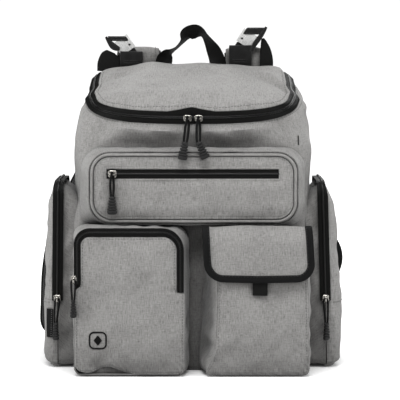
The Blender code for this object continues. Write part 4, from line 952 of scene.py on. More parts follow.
# the fabric hinge behind the lid, down to the back seam
line = np.vstack([lid[:, 0], lid[::-1, -1]])
line = resample(line[np.argsort(line[:, 0])], 121)
seam_z = np.interp(np.abs(line[:, 0]), [0, 0.04, 0.08, 0.12, 0.14],
                   [0.4155, 0.4145, 0.4120, 0.4075, 0.4000])
seam = grid_of(line[:, 0] * 1.01, BACK_Y + 0.0012, seam_z)
t = np.linspace(0, 1, 13)[:, None]
strip = line[None] * (1 - t[..., None]) + seam[None] * t[..., None]
strip[..., 1] += 0.0015 * sin(PI * t)
strip[..., 2] += 0.0016 * sin(PI * t) - 0.0006
bridge(sheet("lid_hinge_fabric", strip, 0.0022, GREY, LID_INSIDE, inner=LINING),
       "lid", ((0, 0.0855, 0.4195), (0, 0.0776, 0.4195)))

# ------------------------------------------------------------------ zip sliders and cord pulls
SLIDER_LENGTH = 0.0105
SLIDER_RINGS = [  # inset from the plan's edge, y
    (0.0006, -0.0002), (0.0, -0.0007), (0.0, -0.0016), (0.0005, -0.0021), (0.0012, -0.0022),
    (0.0022, -0.0019), (0.0040, -0.0018)]
BAIL_REACH = 0.0042
GRIP_LEN = 0.0245
GRIP_RIBS = 5


def make_slider(name, at, along, width):
    """Cast slider: a waisted plate with raised flanges, and an arched bail."""
    w, l = width / 2, SLIDER_LENGTH / 2
    upper = [(-l, -w * 0.62), (-l * 0.55, -w), (l * 0.5, -w), (l, -w * 0.80)]
    plan = upper + [(x, -z) for x, z in upper[::-1]]
    plan = resample(catmull(plan + plan[:1], 5), 36, closed=True)
    rings = np.array([grid_of(plan[:, 0] * (1 - inset / w), y, plan[:, 1] * (1 - inset / w))
                      for inset, y in SLIDER_RINGS])
    verts, cap_faces, cap_uvs = capped(rings, np.zeros((*rings.shape[:2], 2)))
    faces = quads(len(rings), len(plan), True).tolist() + cap_faces
    uvs = [quad_uv(grid_uv(rings, True, "xz"))] + cap_uvs
    plate = build(name + "_plate", verts, faces, uvs, [NICKEL], crease=40)
    left = [(-BAIL_REACH, -0.0008, 0), (-BAIL_REACH, -0.0044, 0), (-BAIL_REACH * 0.6, -0.0063, 0)]
    arch_line = catmull(left + [(0, -0.0067, 0)] + [(-x, y, z) for x, y, z in left[::-1]], 5)
    bail = sweep(name + "_bail", arch_line, 0.0024, 0.0013, NICKEL, across=(0, 0, 1), kind="soft",
                 steps=14)
    nose_line = grid_of(BAIL_REACH + 0.0002, -0.0017, np.linspace(-w * 0.7, w * 0.7, 9))
    nose = sweep(name + "_nose", nose_line, 0.0012, 0.0016, NICKEL, steps=10)
    obj = join([plate, bail, nose], name)
    if along == "Z":
        obj.data.transform(Matrix.Rotation(-PI / 2, 4, "Y"))
    obj.data.transform(Matrix.Translation(at))
    smooth(obj.data, crease=40)
    return obj


def grip_profile():
    """(radius, z) of the ribbed rubber end, which widens downwards."""
    top_radius, end_radius = 0.0043, 0.0066
    step = (GRIP_LEN - 0.0055) / GRIP_RIBS
    profile = [(0.0002, 0.0004), (0.0024, 0.0003), (0.0034, -0.0004)]
    for i in range(GRIP_RIBS):
        z = -0.0012 - step * i
        r = top_radius + (end_radius - top_radius) * (i + 0.5) / GRIP_RIBS
        # radius change, share of the rib's height
        for change, share in ((-0.0004, 0.02), (0, 0.14), (0.0001, 0.34), (0, 0.54),
                              (-0.0005, 0.64), (-0.0014, 0.72), (-0.0014, 0.92)):
            profile.append((r + change, z - share * step))
    profile += [(end_radius - 0.0006, -GRIP_LEN + 0.0048), (end_radius, -GRIP_LEN + 0.0040),
                (end_radius, -GRIP_LEN + 0.0020), (end_radius * 0.9, -GRIP_LEN + 0.0008),
                (end_radius * 0.70, -GRIP_LEN + 0.0001), (end_radius * 0.35, -GRIP_LEN),
                (0.0002, -GRIP_LEN)]
    return profile


def make_pull(name, at, along, drop, turn=0.0, lean=0.0, shift=0.0):
    """A looped braided cord through the bail, and a ribbed tapering rubber end. drop lists the
    (y, z) of the hanging cord; turn and lean are degrees; shift is its sideways drift."""
    if along == "Z":
        thick = 0.0028
        loop = [(-0.0030, -0.0046, -0.006), (-0.0028, -0.0040, -0.0022),
                (-0.0016, -0.0038, -0.0004), (0, -0.0038, 0)]
        other = [(-x, y, z) for x, y, z in reversed(loop[:-1])]
    else:
        thick = 0.0033
        loop = [(-0.0016, -0.0094, -0.006), (-0.0010, -0.0094, -0.0026), (0, -0.0088, 0.0012),
                (0, -0.0062, 0.0026)]
        other = [(0, -0.0038, 0.0012), (0.0010, -0.0036, -0.0026), (0.0016, -0.0046, -0.006)]
    start, end = [], []
    for i, (y, z) in enumerate(drop):
        x = shift * (i + 1) / len(drop)
        last = i == len(drop) - 1
        gap = 0.0013 if last else 0.0024
        start.insert(0, (x - gap, y - (0.0 if last else 0.0004), z))
        end.append((x + gap, y, z))
    cord = sweep(name + "_cord", catmull(start + loop + other + end, 7), thick, thick, CORD,
                 steps=10)
    grip = lathe(name + "_grip", grip_profile(), RUBBER, flat=0.64)
    grip.data.transform(Matrix.Rotation(radians(turn), 4, "Z"))
    grip.data.transform(Matrix.Rotation(radians(lean), 4, "Y"))
    end_y, end_z = drop[-1]
    grip.data.transform(Matrix.Translation((shift, end_y, end_z + 0.0040)))
    obj = join([cord, grip], name)
    obj.data.transform(Matrix.Translation(at))
    obj.data.shade_smooth()
    return obj


def slider_and_pull(label, at, along, width=0.0086, **how):
    slider = make_slider(label + "_zip_slider", at, along, width)
    place(slider, label + "_slider", body=label + "_slider", slot="nickel_slider")
    pull = make_pull(label + "_cord_pull", at, along, **how)
    place(pull, label + "_pull", body=label + "_pull", slot="black_rubber")


def straight(length, depth=0.0066):
    return [(-depth, -length * 0.55), (-depth, -length - 0.004)]


# the two main pulls hang out over the brow
BROW_DROP = [(-0.0120, -0.0125), (-0.0220, -0.0205), (-0.0320, -0.0270), (-0.0382, -0.0345)]
for label, x, shift, lean in (("main_left", -0.0062, -0.0032, 9),
                              ("main_right", 0.0086, 0.0002, -24)):
    slider_and_pull(label, (x, FRONT_Y - 0.0018, 0.3508), "X", drop=BROW_DROP, shift=shift,
                    lean=lean)


# ------------------------------------------------------------------ flat sewn panels
def panel(name, span, z0, z1, face_y, rows, crown, extra):
    """A pocket's face, its edges curled back. span gives its left and right at each height;
    extra(grid) may move the grid and returns more depth. Also returns the distance to the edge."""
    cols, groove, inside_y = 130, 0.0032, -0.05
    rows_z = spread(rows, z0, z1)
    left, right = (limit[:, None] for limit in span(rows_z))
    grid = grid_of(left + (right - left) * spread(cols, 0, 1), face_y, rows_z[:, None])
    x, y, z = axes(grid)
    dist = np.minimum.reduce([x - left, right - x, z - z0, z1 - z])
    depth = curl(dist, 0.0034) - crown * ease(dist, 0, 0.035) ** 0.8
    depth -= 0.0008 * (SOFT(grid) * 1.1 + 0.5 * CRUMPLE(grid)) * ease(dist, 0, 0.02)
    # puckers along the edge, and the groove of its stitch line
    run = x + z
    puckers = sin(run / 0.0021 + 2 * sin(run / 0.013))
    depth -= 0.0005 * puckers * exp(-dist / 0.007) * ease(dist, 0, 0.002)
    depth += 0.0006 * bell(dist, groove, 0.0011)
    y += depth + extra(grid)
    obj = sheet(name, grid, 0.0022, GREY, (x.mean(), inside_y, z.mean()), uv="xz")
    return obj, grid, dist


def edge_stitch(name, grid, dist, sides, at=0.0030):
    """Stitch lines along the grid lines that lie about at from a panel's edge."""
    rows, cols = grid.shape[:2]
    out = outward(grid, (grid[..., 0].mean(), -0.05, grid[..., 2].mean()))
    col = int(np.argmin(np.abs(dist[rows // 2, :cols // 2] - at)))
    row = int(np.argmin(np.abs(dist[:rows // 2, cols // 2] - at)))
    tall, wide = slice(row, rows - row), slice(col, cols - col)
    places = {"l": (tall, col), "r": (tall, cols - 1 - col), "b": (row, wide),
              "t": (rows - 1 - row, wide)}
    return stitches(name, [(grid[places[key]], out[places[key]]) for key in sides])


def pocket_wall(name, node, back_ring, front_ring, front_y, bulge, inside, loop=True,
                wrinkle=0.0008, rows=26, lip=0.0):
    """A pocket's side wall, from 1.6 mm inside the body's surface out to the face's edge."""
    back_y = body_y(back_ring[:, 0], back_ring[:, 1]) + 0.0016
    t = np.linspace(0, 1, rows)[:, None]
    mixed = back_ring[None] * (1 - t[..., None]) + front_ring[None] * t[..., None]
    grid = grid_of(mixed[..., 0], back_y[None] * (1 - t) + front_y * t, mixed[..., 1])
    out = outward(grid, inside, loop)
    middle = sin(PI * t) ** 0.7
    swell = bulge * middle + wrinkle * (CRUMPLE(grid * 0.9) + 0.6 * SOFT(grid)) * middle
    grid = grid + out * swell[..., None]
    grid[..., 1] += lip * (-0.9 * bell(t, 0.935, 0.022) + 1.7 * ease(t, 0.955, 0.045))
    grid[..., 2] = np.maximum(grid[..., 2], 0.0022)
    place(sheet(name, grid, 0.0018, GREY, inside, loop=loop), node)


# ------------------------------------------------------------------ upper front pocket
UPPER_Y = -0.1145
UPPER_INSIDE = (0, -0.09, 0.26)
UPPER_ZIP_Z = 0.27625


def upper_outline(inset, count):
    radii = [radius - inset for radius in (0.030, 0.028, 0.027, 0.027)]
    return rounded_rect(-0.1390 + inset, 0.1435 - inset, 0.2088 + inset, 0.3048 - inset, radii,
                        count)


upper_back = rounded_rect(-0.1560, 0.1570, 0.2060, 0.3102, (0.010, 0.010, 0.030, 0.030), 260)
pocket_wall("upper_pocket_wall", "upper_pocket_gusset", upper_back, upper_outline(0.0, 260),
            UPPER_Y - 0.0008, 0.0022, UPPER_INSIDE, rows=64, lip=0.0020)
welt = upper_outline(0.0024, 300)
welt = sweep("upper_pocket_welt", grid_of(welt[:, 0], UPPER_Y - 0.0010, welt[:, 1]), 0.0042,
             0.0042, GREY, across=(0, 1, 0), steps=16, loop=True)
place(welt, "upper_pocket_piping")

# the face is a ring of cloth from its edge in to the zip's slot, each slot point straight
# across from a point of the edge
outer = upper_outline(0.0048, 360)
base_x = np.clip(outer[:, 0], -0.1105, 0.1125)
offset = outer - np.stack([base_x, np.full(360, UPPER_ZIP_Z)], -1)
shrink = 1.0 / np.max(np.abs(offset) / (0.0055, 0.00625), axis=1)  # the slot's end and half height
slot = np.stack([base_x, np.full(360, UPPER_ZIP_Z)], -1) + offset * shrink[:, None]
t = spread(44, 0, 1, 0.7)[:, None, None]
flat = outer * (1 - t) + slot * t
d_out = np.linalg.norm(flat - outer[None], axis=-1)
d_in = np.linalg.norm(flat - slot[None], axis=-1)
face_y = (UPPER_Y - 0.0022 + curl(d_out, 0.0026)
          - 0.0016 * ease(d_out, 0, 0.02) * ease(d_in, 0, 0.012))
face = grid_of(flat[..., 0], face_y, flat[..., 1])
wrinkles = SOFT(face) + 0.6 * CRUMPLE(face)
x, y, z = axes(face)
y -= 0.00055 * wrinkles * ease(d_out, 0, 0.012) * ease(d_in, 0, 0.006)
y += curl(d_in, 0.0011) - 0.0005 * bell(d_in, 0.0016, 0.0010)
y += 0.0005 * bell(d_out, 0.0034, 0.0010)
column = np.arange(360)[None, :]
puckers = sin(column * 1.1 + 1.5 * sin(column * 0.21))
y -= 0.0004 * puckers * exp(-d_out / 0.006) * ease(d_out, 0, 0.002)
place(sheet("upper_pocket_panel", face, 0.0018, GREY, UPPER_INSIDE, loop=True, uv="xz"),
      "upper_pocket_face")

zip_x = np.linspace(-0.1168, 0.1188, 160)
for name, low, high, nodes in (("upper_zip_tape_low", -0.00685, -0.0002, ["upper_pocket_zip"]),
                               ("upper_zip_tape_high", 0.0002, 0.00685, [])):
    t = np.linspace(0, 1, 7)[:, None]
    tape = grid_of(zip_x[None], UPPER_Y - 0.0014 - 0.0004 * sin(PI * t),
                   UPPER_ZIP_Z + low + (high - low) * t)
    place(sheet(name, tape, 0.0012, TAPE, (0, -0.09, 0.27), uv="xz"), *nodes, slot="black_tape")
coil = sweep("upper_zip_coil", grid_of(zip_x, UPPER_Y - 0.0018, UPPER_ZIP_Z), 0.0030, 0.0016,
             COIL, across=(0, 0, 1), steps=10)
place(coil, slot="black_tape")
slider_and_pull("upper", (-0.1085, UPPER_Y - 0.0033, UPPER_ZIP_Z), "X", drop=straight(0.030),
                width=0.0094)

# ------------------------------------------------------------------ lower left zip pocket
LEFT_X0, LEFT_X1, LEFT_Z0, LEFT_Z1, LEFT_Y = -0.1605, -0.0110, 0.0015, 0.2040, -0.1335
LEFT_RADIUS = 0.022  # of the top left corner
LEFT_FOLD = 0.117  # the front folds down above this height
LEFT_PINS = ((0, LEFT_Y, 0.108), (0, LEFT_Y, 0.130))
pocket_wall("left_pocket_wall", "left_pocket_gusset",
            rounded_rect(LEFT_X0 - 0.0005, LEFT_X1 + 0.0065, LEFT_Z0, LEFT_Z1 - 0.0005,
                         (0.008, 0.008, 0.022, 0.018), 240),
            rounded_rect(LEFT_X0, LEFT_X1, LEFT_Z0, LEFT_Z1, (0.010, 0.010, 0.030, LEFT_RADIUS),
                         240),
            LEFT_Y, 0.0016, (-0.085, -0.1, 0.1))


def zip_line(inset_side, inset_top, right_radius, left_end):
    """Up the left side, across the top and down the right, as (x, z)."""
    left, right = LEFT_X0 + inset_side, LEFT_X1 - inset_side
    left_radius, top = LEFT_RADIUS - inset_side, LEFT_Z1 - inset_top
    points = [(left, z) for z in np.linspace(left_end, top - left_radius, 10)[:-1]]
    for x, radius, start in ((left + left_radius, left_radius, 180),
                             (right - right_radius, right_radius, 90)):
        for a in np.radians(np.linspace(start, start - 90, 14)):
            points.append((x + radius * cos(a), top - radius + radius * sin(a)))
    points += [(right, z) for z in np.linspace(top - right_radius, LEFT_FOLD - 0.001, 10)[1:]]
    return resample(points, 200)


# name, side inset, top inset, right radius, left end's height, width, extra width at the top,
# lift from the tapes, thickness, material, body, CAD nodes
for (name, inset_side, inset_top, radius, left_end, width, extra_width, lift, thick, mat, carrier,
     nodes) in (
        ("left_pocket_tape_back", 0.0022, 0.0028, 0.0272, 0.1265, 0.0043, 0.0013, 0.0, 0.0012,
         TAPE, "bag", ["left_pocket_tape_outer"]),
        ("left_pocket_tape_front", 0.0070, 0.0089, 0.0224, LEFT_FOLD + 0.0006, 0.0043, 0.0013,
         0.0, 0.0012, TAPE, "left_pocket_front", ["left_pocket_tape_inner"]),
        ("left_pocket_coil", 0.0046, 0.0058, 0.0250, 0.1275, 0.0022, 0.0, 0.0008, 0.0014,
         COIL, "left_pocket_front", [])):
    line = zip_line(inset_side, inset_top, radius, left_end)
    width = width + extra_width * bell(line[:, 1], LEFT_Z1 - inset_top, 0.008)
    line = grid_of(line[:, 0], LEFT_Y - 0.0003 - 0.0006 - lift, line[:, 1])
    across = np.cross(unit(np.gradient(line, axis=0)), np.array([0, 1.0, 0]))
    band = sweep(name, line, width, thick, mat, across=across, kind="soft", steps=18)
    place(band, *nodes, body=carrier, slot="black_tape")


def left_span(z):
    """Narrow inside the zip above the fold, full width below it."""
    top = 0.1923
    left = -0.1514 + curl(top - z, 0.0126)
    right = -0.0203 - curl(top - z, 0.0206)
    low = ease(0.131 - z, 0, 0.018)
    left = left * (1 - low) + (-0.1602) * low
    step = ease(LEFT_FOLD - z, 0, 0.0028)
    right = right * (1 - step) + (-0.0095 - 0.0004 * sin(z / 0.02)) * step
    foot = z - 0.0040
    return (np.maximum(left, -0.1602 + curl(foot, 0.014)),
            np.minimum(right, -0.0095 - curl(foot, 0.008)))


def left_extra(grid):
    x, _, z = axes(grid)
    # the lower edge is drawn up in an arch near the left corner, where the cloth folds under
    arch_x = -0.1135
    lift = 0.0115 * bell(x, arch_x, 0.0200) + 0.0020 * bell(x, -0.150, 0.012)
    z += lift * np.clip(1 - (z - 0.004) / 0.055, 0, 1) ** 1.6
    # folds fanning up from the arch
    radius = np.hypot(x - arch_x, z + 0.004)
    fan = sin(np.arctan2(x - arch_x, z + 0.012) * 4.2 + 0.5) * bell(radius, 0.022, 0.020)
    depth = -0.0030 * fan
    depth += 0.0032 * bell(x, arch_x, 0.026) * exp(-(z - 0.004) / 0.016)
    depth -= 0.0016 * bell(x, -0.075, 0.03) * bell(z, 0.022, 0.018)
    # slack drag lines in the upper part, and a dip along the fold's right end
    depth -= 0.0012 * sin((x * 0.5 + z) / 0.010) * bell(x, -0.125, 0.03) * bell(z, 0.155, 0.03)
    depth -= 0.0009 * sin((x * 0.9 - z * 0.4) / 0.009) * bell(z, 0.182, 0.010)
    depth += 0.0011 * bell(z, 0.1165, 0.006) * ease(x, -0.045, 0.03)
    return depth


cloth, left_grid, dist = panel("left_pocket_cloth", left_span, 0.0022, 0.1923, LEFT_Y - 0.0022,
                               rows=170, crown=0.0034, extra=left_extra)
bridge(cloth, "left_pocket_front", LEFT_PINS, "left_pocket_face_lower", "left_pocket_face_upper")
bridge(edge_stitch("left_pocket_stitching", left_grid, dist, "lrtb"), "left_pocket_front",
       LEFT_PINS)


def left_depth(x, z):
    """Depth of the left pocket's face at its grid point nearest to (x, z)."""
    away = (left_grid[..., 0] - x) ** 2 + (left_grid[..., 2] - z) ** 2
    return left_grid[np.unravel_index(np.argmin(away), away.shape)][1]


x, z = np.meshgrid(np.linspace(-0.1575, -0.0140, 90), np.linspace(0.0022, 0.0300, 18))
y = (LEFT_Y + 0.0058 - 0.0009 * sin(PI * np.clip((z - 0.0022) / 0.012, 0, 1))
     + 0.0005 * sin(x / 0.006))
place(sheet("left_pocket_hem", grid_of(x, y, z), 0.0014, GREY, (-0.085, -0.1, 0.01), uv="xz"))


# a woven mark: a rounded square outline round a small diamond, in black satin stitch
def satin(name, outline, width):
    height = 0.0010
    points = resample(outline, 120, closed=True)
    line = grid_of(points[:, 0], [left_depth(x, z) - height * 0.25 for x, z in points],
                   points[:, 1])
    tangent = unit(np.roll(line, -1, 0) - np.roll(line, 1, 0))
    return sweep(name, line, width, height, BIND, across=np.cross(tangent, np.array([0, 1.0, 0])),
                 steps=12, loop=True)


BADGE_X, BADGE_Z, BADGE_HALF = -0.1280, 0.0510, 0.0112
DIAMOND_TALL, DIAMOND_WIDE = 0.0058, 0.0046
parts = [
    satin("badge_outline",
          rounded_rect(BADGE_X - BADGE_HALF, BADGE_X + BADGE_HALF, BADGE_Z - BADGE_HALF,
                       BADGE_Z + BADGE_HALF, (0.0062,) * 4, 120), 0.0021),
    satin("badge_ring",
          [(BADGE_X, BADGE_Z + DIAMOND_TALL), (BADGE_X + DIAMOND_WIDE, BADGE_Z),
           (BADGE_X, BADGE_Z - DIAMOND_TALL), (BADGE_X - DIAMOND_WIDE, BADGE_Z)], 0.0018)]
for rise in np.linspace(-0.0034, 0.0034, 8):
    half = 0.0040 * (1 - abs(rise) / DIAMOND_TALL)
    z = BADGE_Z + rise
    line = [(BADGE_X + k, left_depth(BADGE_X + k, z) - 0.00025, z)
            for k in np.linspace(-half, half, 7)]
    parts.append(sweep("s", line, 0.0011, 0.0009, BIND, steps=8))
place(join(parts, "woven_mark"), "badge_patch", slot="black_rubber")
slider_and_pull("left_pocket", (LEFT_X0 - 0.0002, LEFT_Y - 0.0018, 0.1335), "Z",
                drop=straight(0.026, 0.0087), turn=78, width=0.0076)

# ------------------------------------------------------------------ lower right flap pocket
RIGHT_Z0 = 0.0015
RIGHT_TOP = 0.1860
FOOT_RADIUS = 0.009


def right_span(z):
    """The left edge drops nearly straight, then kicks out at the foot."""
    left = np.interp(z, [0.0, 0.006, 0.020, 0.040, 0.100, 0.185],
                     [0.0165, 0.0178, 0.0262, 0.0322, 0.0345, 0.0350])
    right = 0.1605 + (0.1565 - 0.1605) * ((z - RIGHT_Z0) / 0.1835)
    foot = curl(z - RIGHT_Z0, FOOT_RADIUS)
    return left + foot, right - foot


def right_extra(grid):
    """A bulge and slanting folds by the left foot, and slack higher up."""
    x, _, z = axes(grid)
    depth = -0.0016 * bell(z, 0.030, 0.016) * bell(x, 0.034, 0.016)
    folds = sin((x * 0.75 - z * 0.9) / 0.008)
    depth += 0.0016 * folds * bell(x, 0.044, 0.020) * bell(z, 0.035, 0.022)
    depth -= 0.0009 * sin((x + 0.35 * z) / 0.013) * bell(z, 0.115, 0.04)
    return depth


cloth, right_grid, dist = panel("right_pocket_cloth", right_span, RIGHT_Z0, RIGHT_TOP, -0.1358,
                                rows=150, crown=0.0022, extra=right_extra)
place(cloth, "right_pocket_face")
place(edge_stitch("right_pocket_stitching", right_grid, dist, "lrb"))

# its side wall: down the left side, round the foot and up the right
foot_z = RIGHT_Z0 + FOOT_RADIUS
side_z = np.linspace(RIGHT_TOP, foot_z, 60)
left, right = right_span(side_z)
a = np.linspace(0.1, PI / 2, 10)
left_foot = np.column_stack([left[-1] + FOOT_RADIUS - FOOT_RADIUS * cos(a),
                             foot_z - FOOT_RADIUS * sin(a)])
a = np.linspace(0.0, PI / 2 - 0.1, 10)
right_foot = np.column_stack([right[-1] - FOOT_RADIUS + FOOT_RADIUS * sin(a),
                              foot_z - FOOT_RADIUS * cos(a)])
front_line = resample(np.vstack([np.column_stack([left, side_z]), left_foot, right_foot,
                                 np.column_stack([right, side_z])[::-1]]), 220)
BACK_CORNERS = np.array([  # point number along the wall, x, z
    (0, 0.0200, 0.190), (82, 0.0095, 0.012), (90, 0.0130, 0.0020), (132, 0.1600, 0.0020),
    (140, 0.1635, 0.012), (219, 0.1620, 0.190)])
back_line = np.column_stack([np.interp(np.arange(220), BACK_CORNERS[:, 0], BACK_CORNERS[:, k])
                             for k in (1, 2)])
pocket_wall("right_pocket_wall", "right_pocket_gusset", back_line, front_line, -0.1346, 0.0014,
            (0.09, -0.1, 0.15), loop=False, wrinkle=0.0012)

# the flap, curved over the pocket's mouth
FLAP_Z0 = 0.133
FLAP_INSIDE = (0.09, -0.10, 0.16)
FLAP_PINS = ((0, -0.1262, 0.2045), (0, -0.1365, 0.1985))
flap_line = catmull([(-0.1262, 0.2040), (-0.1325, 0.2010), (-0.1385, 0.1950), (-0.1418, 0.1850),
                     (-0.1425, 0.1720), (-0.1425, 0.1300)], 8)  # y, z from the seam down
run = run_length(flap_line)
run_end = np.interp(-FLAP_Z0, -flap_line[:, 1], run)
at = spread(110, 0, run_end, 0.5)[:, None]
y, z = (np.interp(at, run, flap_line[:, k]) for k in (0, 1))
height_share = (z - FLAP_Z0) / 0.087
corner = curl(run_end - at, 0.024)
left = 0.0185 + (0.0135 - 0.0185) * height_share + corner
right = 0.1665 + (0.1610 - 0.1665) * height_share - corner
flap = grid_of(left + (right - left) * spread(120, 0, 1), y, z)
x, _, z = axes(flap)
dist = np.minimum.reduce([x - left, right - x, run_end - at + 0 * x])
flap_out = outward(flap, FLAP_INSIDE)
z += -0.0016 * sin((x - 0.02) / 0.146 * PI) * ease(0.17 - z, 0, 0.03)  # droop
flap += flap_out * (0.0013 + 0.0014 * ease(dist, 0, 0.03) + 0.0006 * SOFT(flap) * ease(dist, 0, 0.02)
                    + 0.0009 * sin((x + 0.2 * z) / 0.017) * bell(z, 0.168, 0.02))[..., None]
bridge(sheet("flap_cloth", flap, 0.0022, GREY, FLAP_INSIDE, uv="xz"), "pocket_flap", FLAP_PINS,
       "right_pocket_flap")


def three_edges(grid):
    return np.vstack([grid[:, 0], grid[-1, 1:], grid[::-1, -1][1:]])


# binding: tape folded over the flap's three free edges
path, out = edge_run(three_edges(flap), three_edges(flap_out), 320)
inward = np.cross(out, unit(np.gradient(path, axis=0)))
inward *= np.sign((inward * (flap[60:61, 60] - path)).sum(-1))[:, None]
for _ in range(6):
    middle = (inward[:-2] + inward[1:-1] * 2 + inward[2:]) / 4
    inward = unit(np.vstack([inward[:1], middle, inward[-1:]]))
BINDING_PROFILE = [  # inward, outward
    (0.0088, 0.0004), (0.0080, 0.0012), (0.0060, 0.0016), (0.0035, 0.0017), (0.0010, 0.0016),
    (-0.0007, 0.0009), (-0.0013, -0.0006), (-0.0012, -0.0022), (-0.0004, -0.0034),
    (0.0012, -0.0038), (0.0050, -0.0037), (0.0078, -0.0035), (0.0086, -0.0027),
    (0.0080, -0.0024), (0.0010, -0.0024), (0.0000, -0.0014), (0.0008, 0.0002), (0.0080, 0.0002)]
profile = resample(BINDING_PROFILE, 30, closed=True)
rings = path[:, None] + inward[:, None] * profile[None, :, :1] + out[:, None] * profile[None, :, 1:]
first_cap = list(range(30))[::-1]
last_cap = list(range(rings.size // 3 - 30, rings.size // 3))
faces = quads(len(path), 30, True).tolist() + [first_cap, last_cap]
uvs = [quad_uv(grid_uv(rings, True, "arc")), np.zeros((30, 2)), np.zeros((30, 2))]
bridge(build("flap_edge_binding", rings.reshape(-1, 3), faces, uvs, [BIND]), "pocket_flap",
       FLAP_PINS, "flap_binding", slot="black_tape")
line = path + inward * 0.0074 + out * 0.0014
bridge(stitches("flap_binding_stitching", [(line[6:-6], out[6:-6])], THREAD_BLACK, radius=0.0004),
       "pocket_flap", FLAP_PINS, slot="black_tape")
tab_line = catmull([(0.0925, -0.1399, 0.1440), (0.0925, -0.1399, 0.1300),
                    (0.0925, -0.1404, 0.1190), (0.0924, -0.1401, 0.1128)], 6)
place(sweep("flap_pull_loop", tab_line, 0.0200, 0.0030, WEB, across=(1, 0, 0), kind="flat",
            steps=28), "flap_pull_tab", body="pocket_flap", slot="black_webbing")

# ------------------------------------------------------------------ side pockets
SIDE_FRONT, SIDE_BACK, SIDE_TOP = -0.063, 0.060, 0.2615
SIDE_MID, SIDE_HALF = (SIDE_FRONT + SIDE_BACK) / 2, (SIDE_BACK - SIDE_FRONT) / 2
SIDE_FOLD = 0.0945  # the zipped front folds down above this height
SIDE_OUTLINE = np.array([  # z, distance of the pocket's outer face from the middle plane
    (0.0, 0.2045), (0.02, 0.2060), (0.10, 0.2060), (0.15, 0.2040), (0.20, 0.1990),
    (0.24, 0.1925), (0.27, 0.1860)])


def seam_x(z, side):
    """Distance of the zip from the middle plane; the left one stays further out near its top."""
    if side > 0:
        return 0.1885 - 0.0075 * np.clip((z - 0.03) / 0.23, 0, 1)
    return 0.1885 - 0.0022 * np.clip((z - 0.10) / 0.15, 0, 1)


def side_out(z, side):
    extra = 0.0072 * ease(z, 0.17, 0.09) if side < 0 else 0.0
    return np.interp(z, *SIDE_OUTLINE.T) + extra


def shell(share):
    """How far the front stands out, 1 in the middle and 0 at the zip (share 1)."""
    return np.maximum(0, 1 - share**7) ** 0.52


def arch(inset, low, count):
    """(y, z) up the pocket's front edge, over its top and down its back edge."""
    front, back, top, r = SIDE_FRONT + inset, SIDE_BACK - inset, SIDE_TOP - inset, 0.020
    a = np.linspace(0, PI / 2, 14)
    front_corner = np.stack([front + r - r * cos(a), top - r + r * sin(a)], -1)[1:]
    back_corner = np.stack([back - r + r * sin(a), top - r + r * cos(a)], -1)
    points = [[(front, low), (front, top - r)], front_corner, back_corner, [(back, low)]]
    return resample(np.vstack(points), count)


def flank_x(y, z):
    """Half width of the body at (y, z)."""
    plan = PLANS[int(np.clip(round(z / LEVEL_STEP), 0, len(LEVELS) - 1))]
    right = plan[plan[:, 0] > 0]
    right = right[np.argsort(right[:, 1])]
    return float(np.interp(y, right[:, 1], right[:, 0]))


def side_wall(side, label):
    """From the body out to the zip; its top slopes down towards the body."""
    bottom = [(SIDE_BACK, 0.012), (SIDE_BACK - 0.003, 0.0045), (SIDE_BACK - 0.009, 0.0024),
              (SIDE_FRONT + 0.009, 0.0024), (SIDE_FRONT + 0.003, 0.0045), (SIDE_FRONT, 0.012)]
    ring_y, ring_z = np.vstack([arch(0.0, 0.012, 170), resample(bottom, 60)[1:-1]]).T
    t = np.linspace(0, 1, 22)[:, None]
    high = ease(ring_z, 0.20, 0.06)
    y = ring_y * (1 - 0.05 * (1 - t) * high)
    z = ring_z - (1 - t) * 0.016 * high
    inner = np.array([flank_x(a, b) for a, b in zip(y[0], z[0])])[None] - 0.0016
    grid = grid_of(side * (inner + (seam_x(ring_z, side) - 0.0010 - inner) * t), y, z)
    inside = (side * 0.178, 0, 0.13)
    out = outward(grid, inside, loop=True)
    folds = 0.0012 * sin(z / 0.0085 + 1.5 * sin(y / 0.02))
    push = sin(PI * t) * (folds + 0.0007 * CRUMPLE(grid) - 0.0018)
    grid = grid + out * push[..., None]
    grid[..., 2] = np.maximum(grid[..., 2], 0.0022)
    place(sheet("side_wall_" + label, grid, 0.0018, GREY, inside, loop=True),
          "side_gusset_" + label)


def side_door(side, label):
    """The padded front that the zip frees, as rings that shrink to its middle line."""
    rho = np.r_[1.0, 0.995, 0.985, np.linspace(0.97, 0.80, 14), np.linspace(0.78, 0.0, 27)]
    rho = rho[:, None]
    base_y, base_z = arch(0.0, SIDE_FOLD - 0.002, 230).T
    mid_z = 0.170
    z = np.where(base_z > mid_z, mid_z + (base_z - mid_z) * rho, base_z)
    near = seam_x(base_z, side)[None] + 0.0003
    far = np.maximum(side_out(z, side) + 0.0008, near + 0.004)
    grid = grid_of(side * (near + (far - near) * shell(rho)),
                   SIDE_MID + (base_y - SIDE_MID) * rho, z)
    inner = 1 - rho
    soft = ease(inner, 0, 0.08)
    bulge = 0.0018 * ease(inner, 0, 0.4) + 0.0011 * SOFT(grid) * soft
    bulge += 0.0006 * CRUMPLE(grid) * soft
    bulge += 0.0010 * sin(z / 0.017 + side * 1.3) * soft * (1 - ease(inner, 0, 0.5))
    grid[..., 0] += side * bulge
    door = sheet("side_front_cloth_" + label, grid, 0.0020, GREY, (side * 0.182, 0, 0.16),
                 uv="yz", weld=True)
    pins = ((side * 0.2, 0, SIDE_FOLD - 0.001), (side * 0.2, 0, SIDE_FOLD + 0.024))
    bridge(door, "side_front_" + label, pins, "side_panel_" + label)


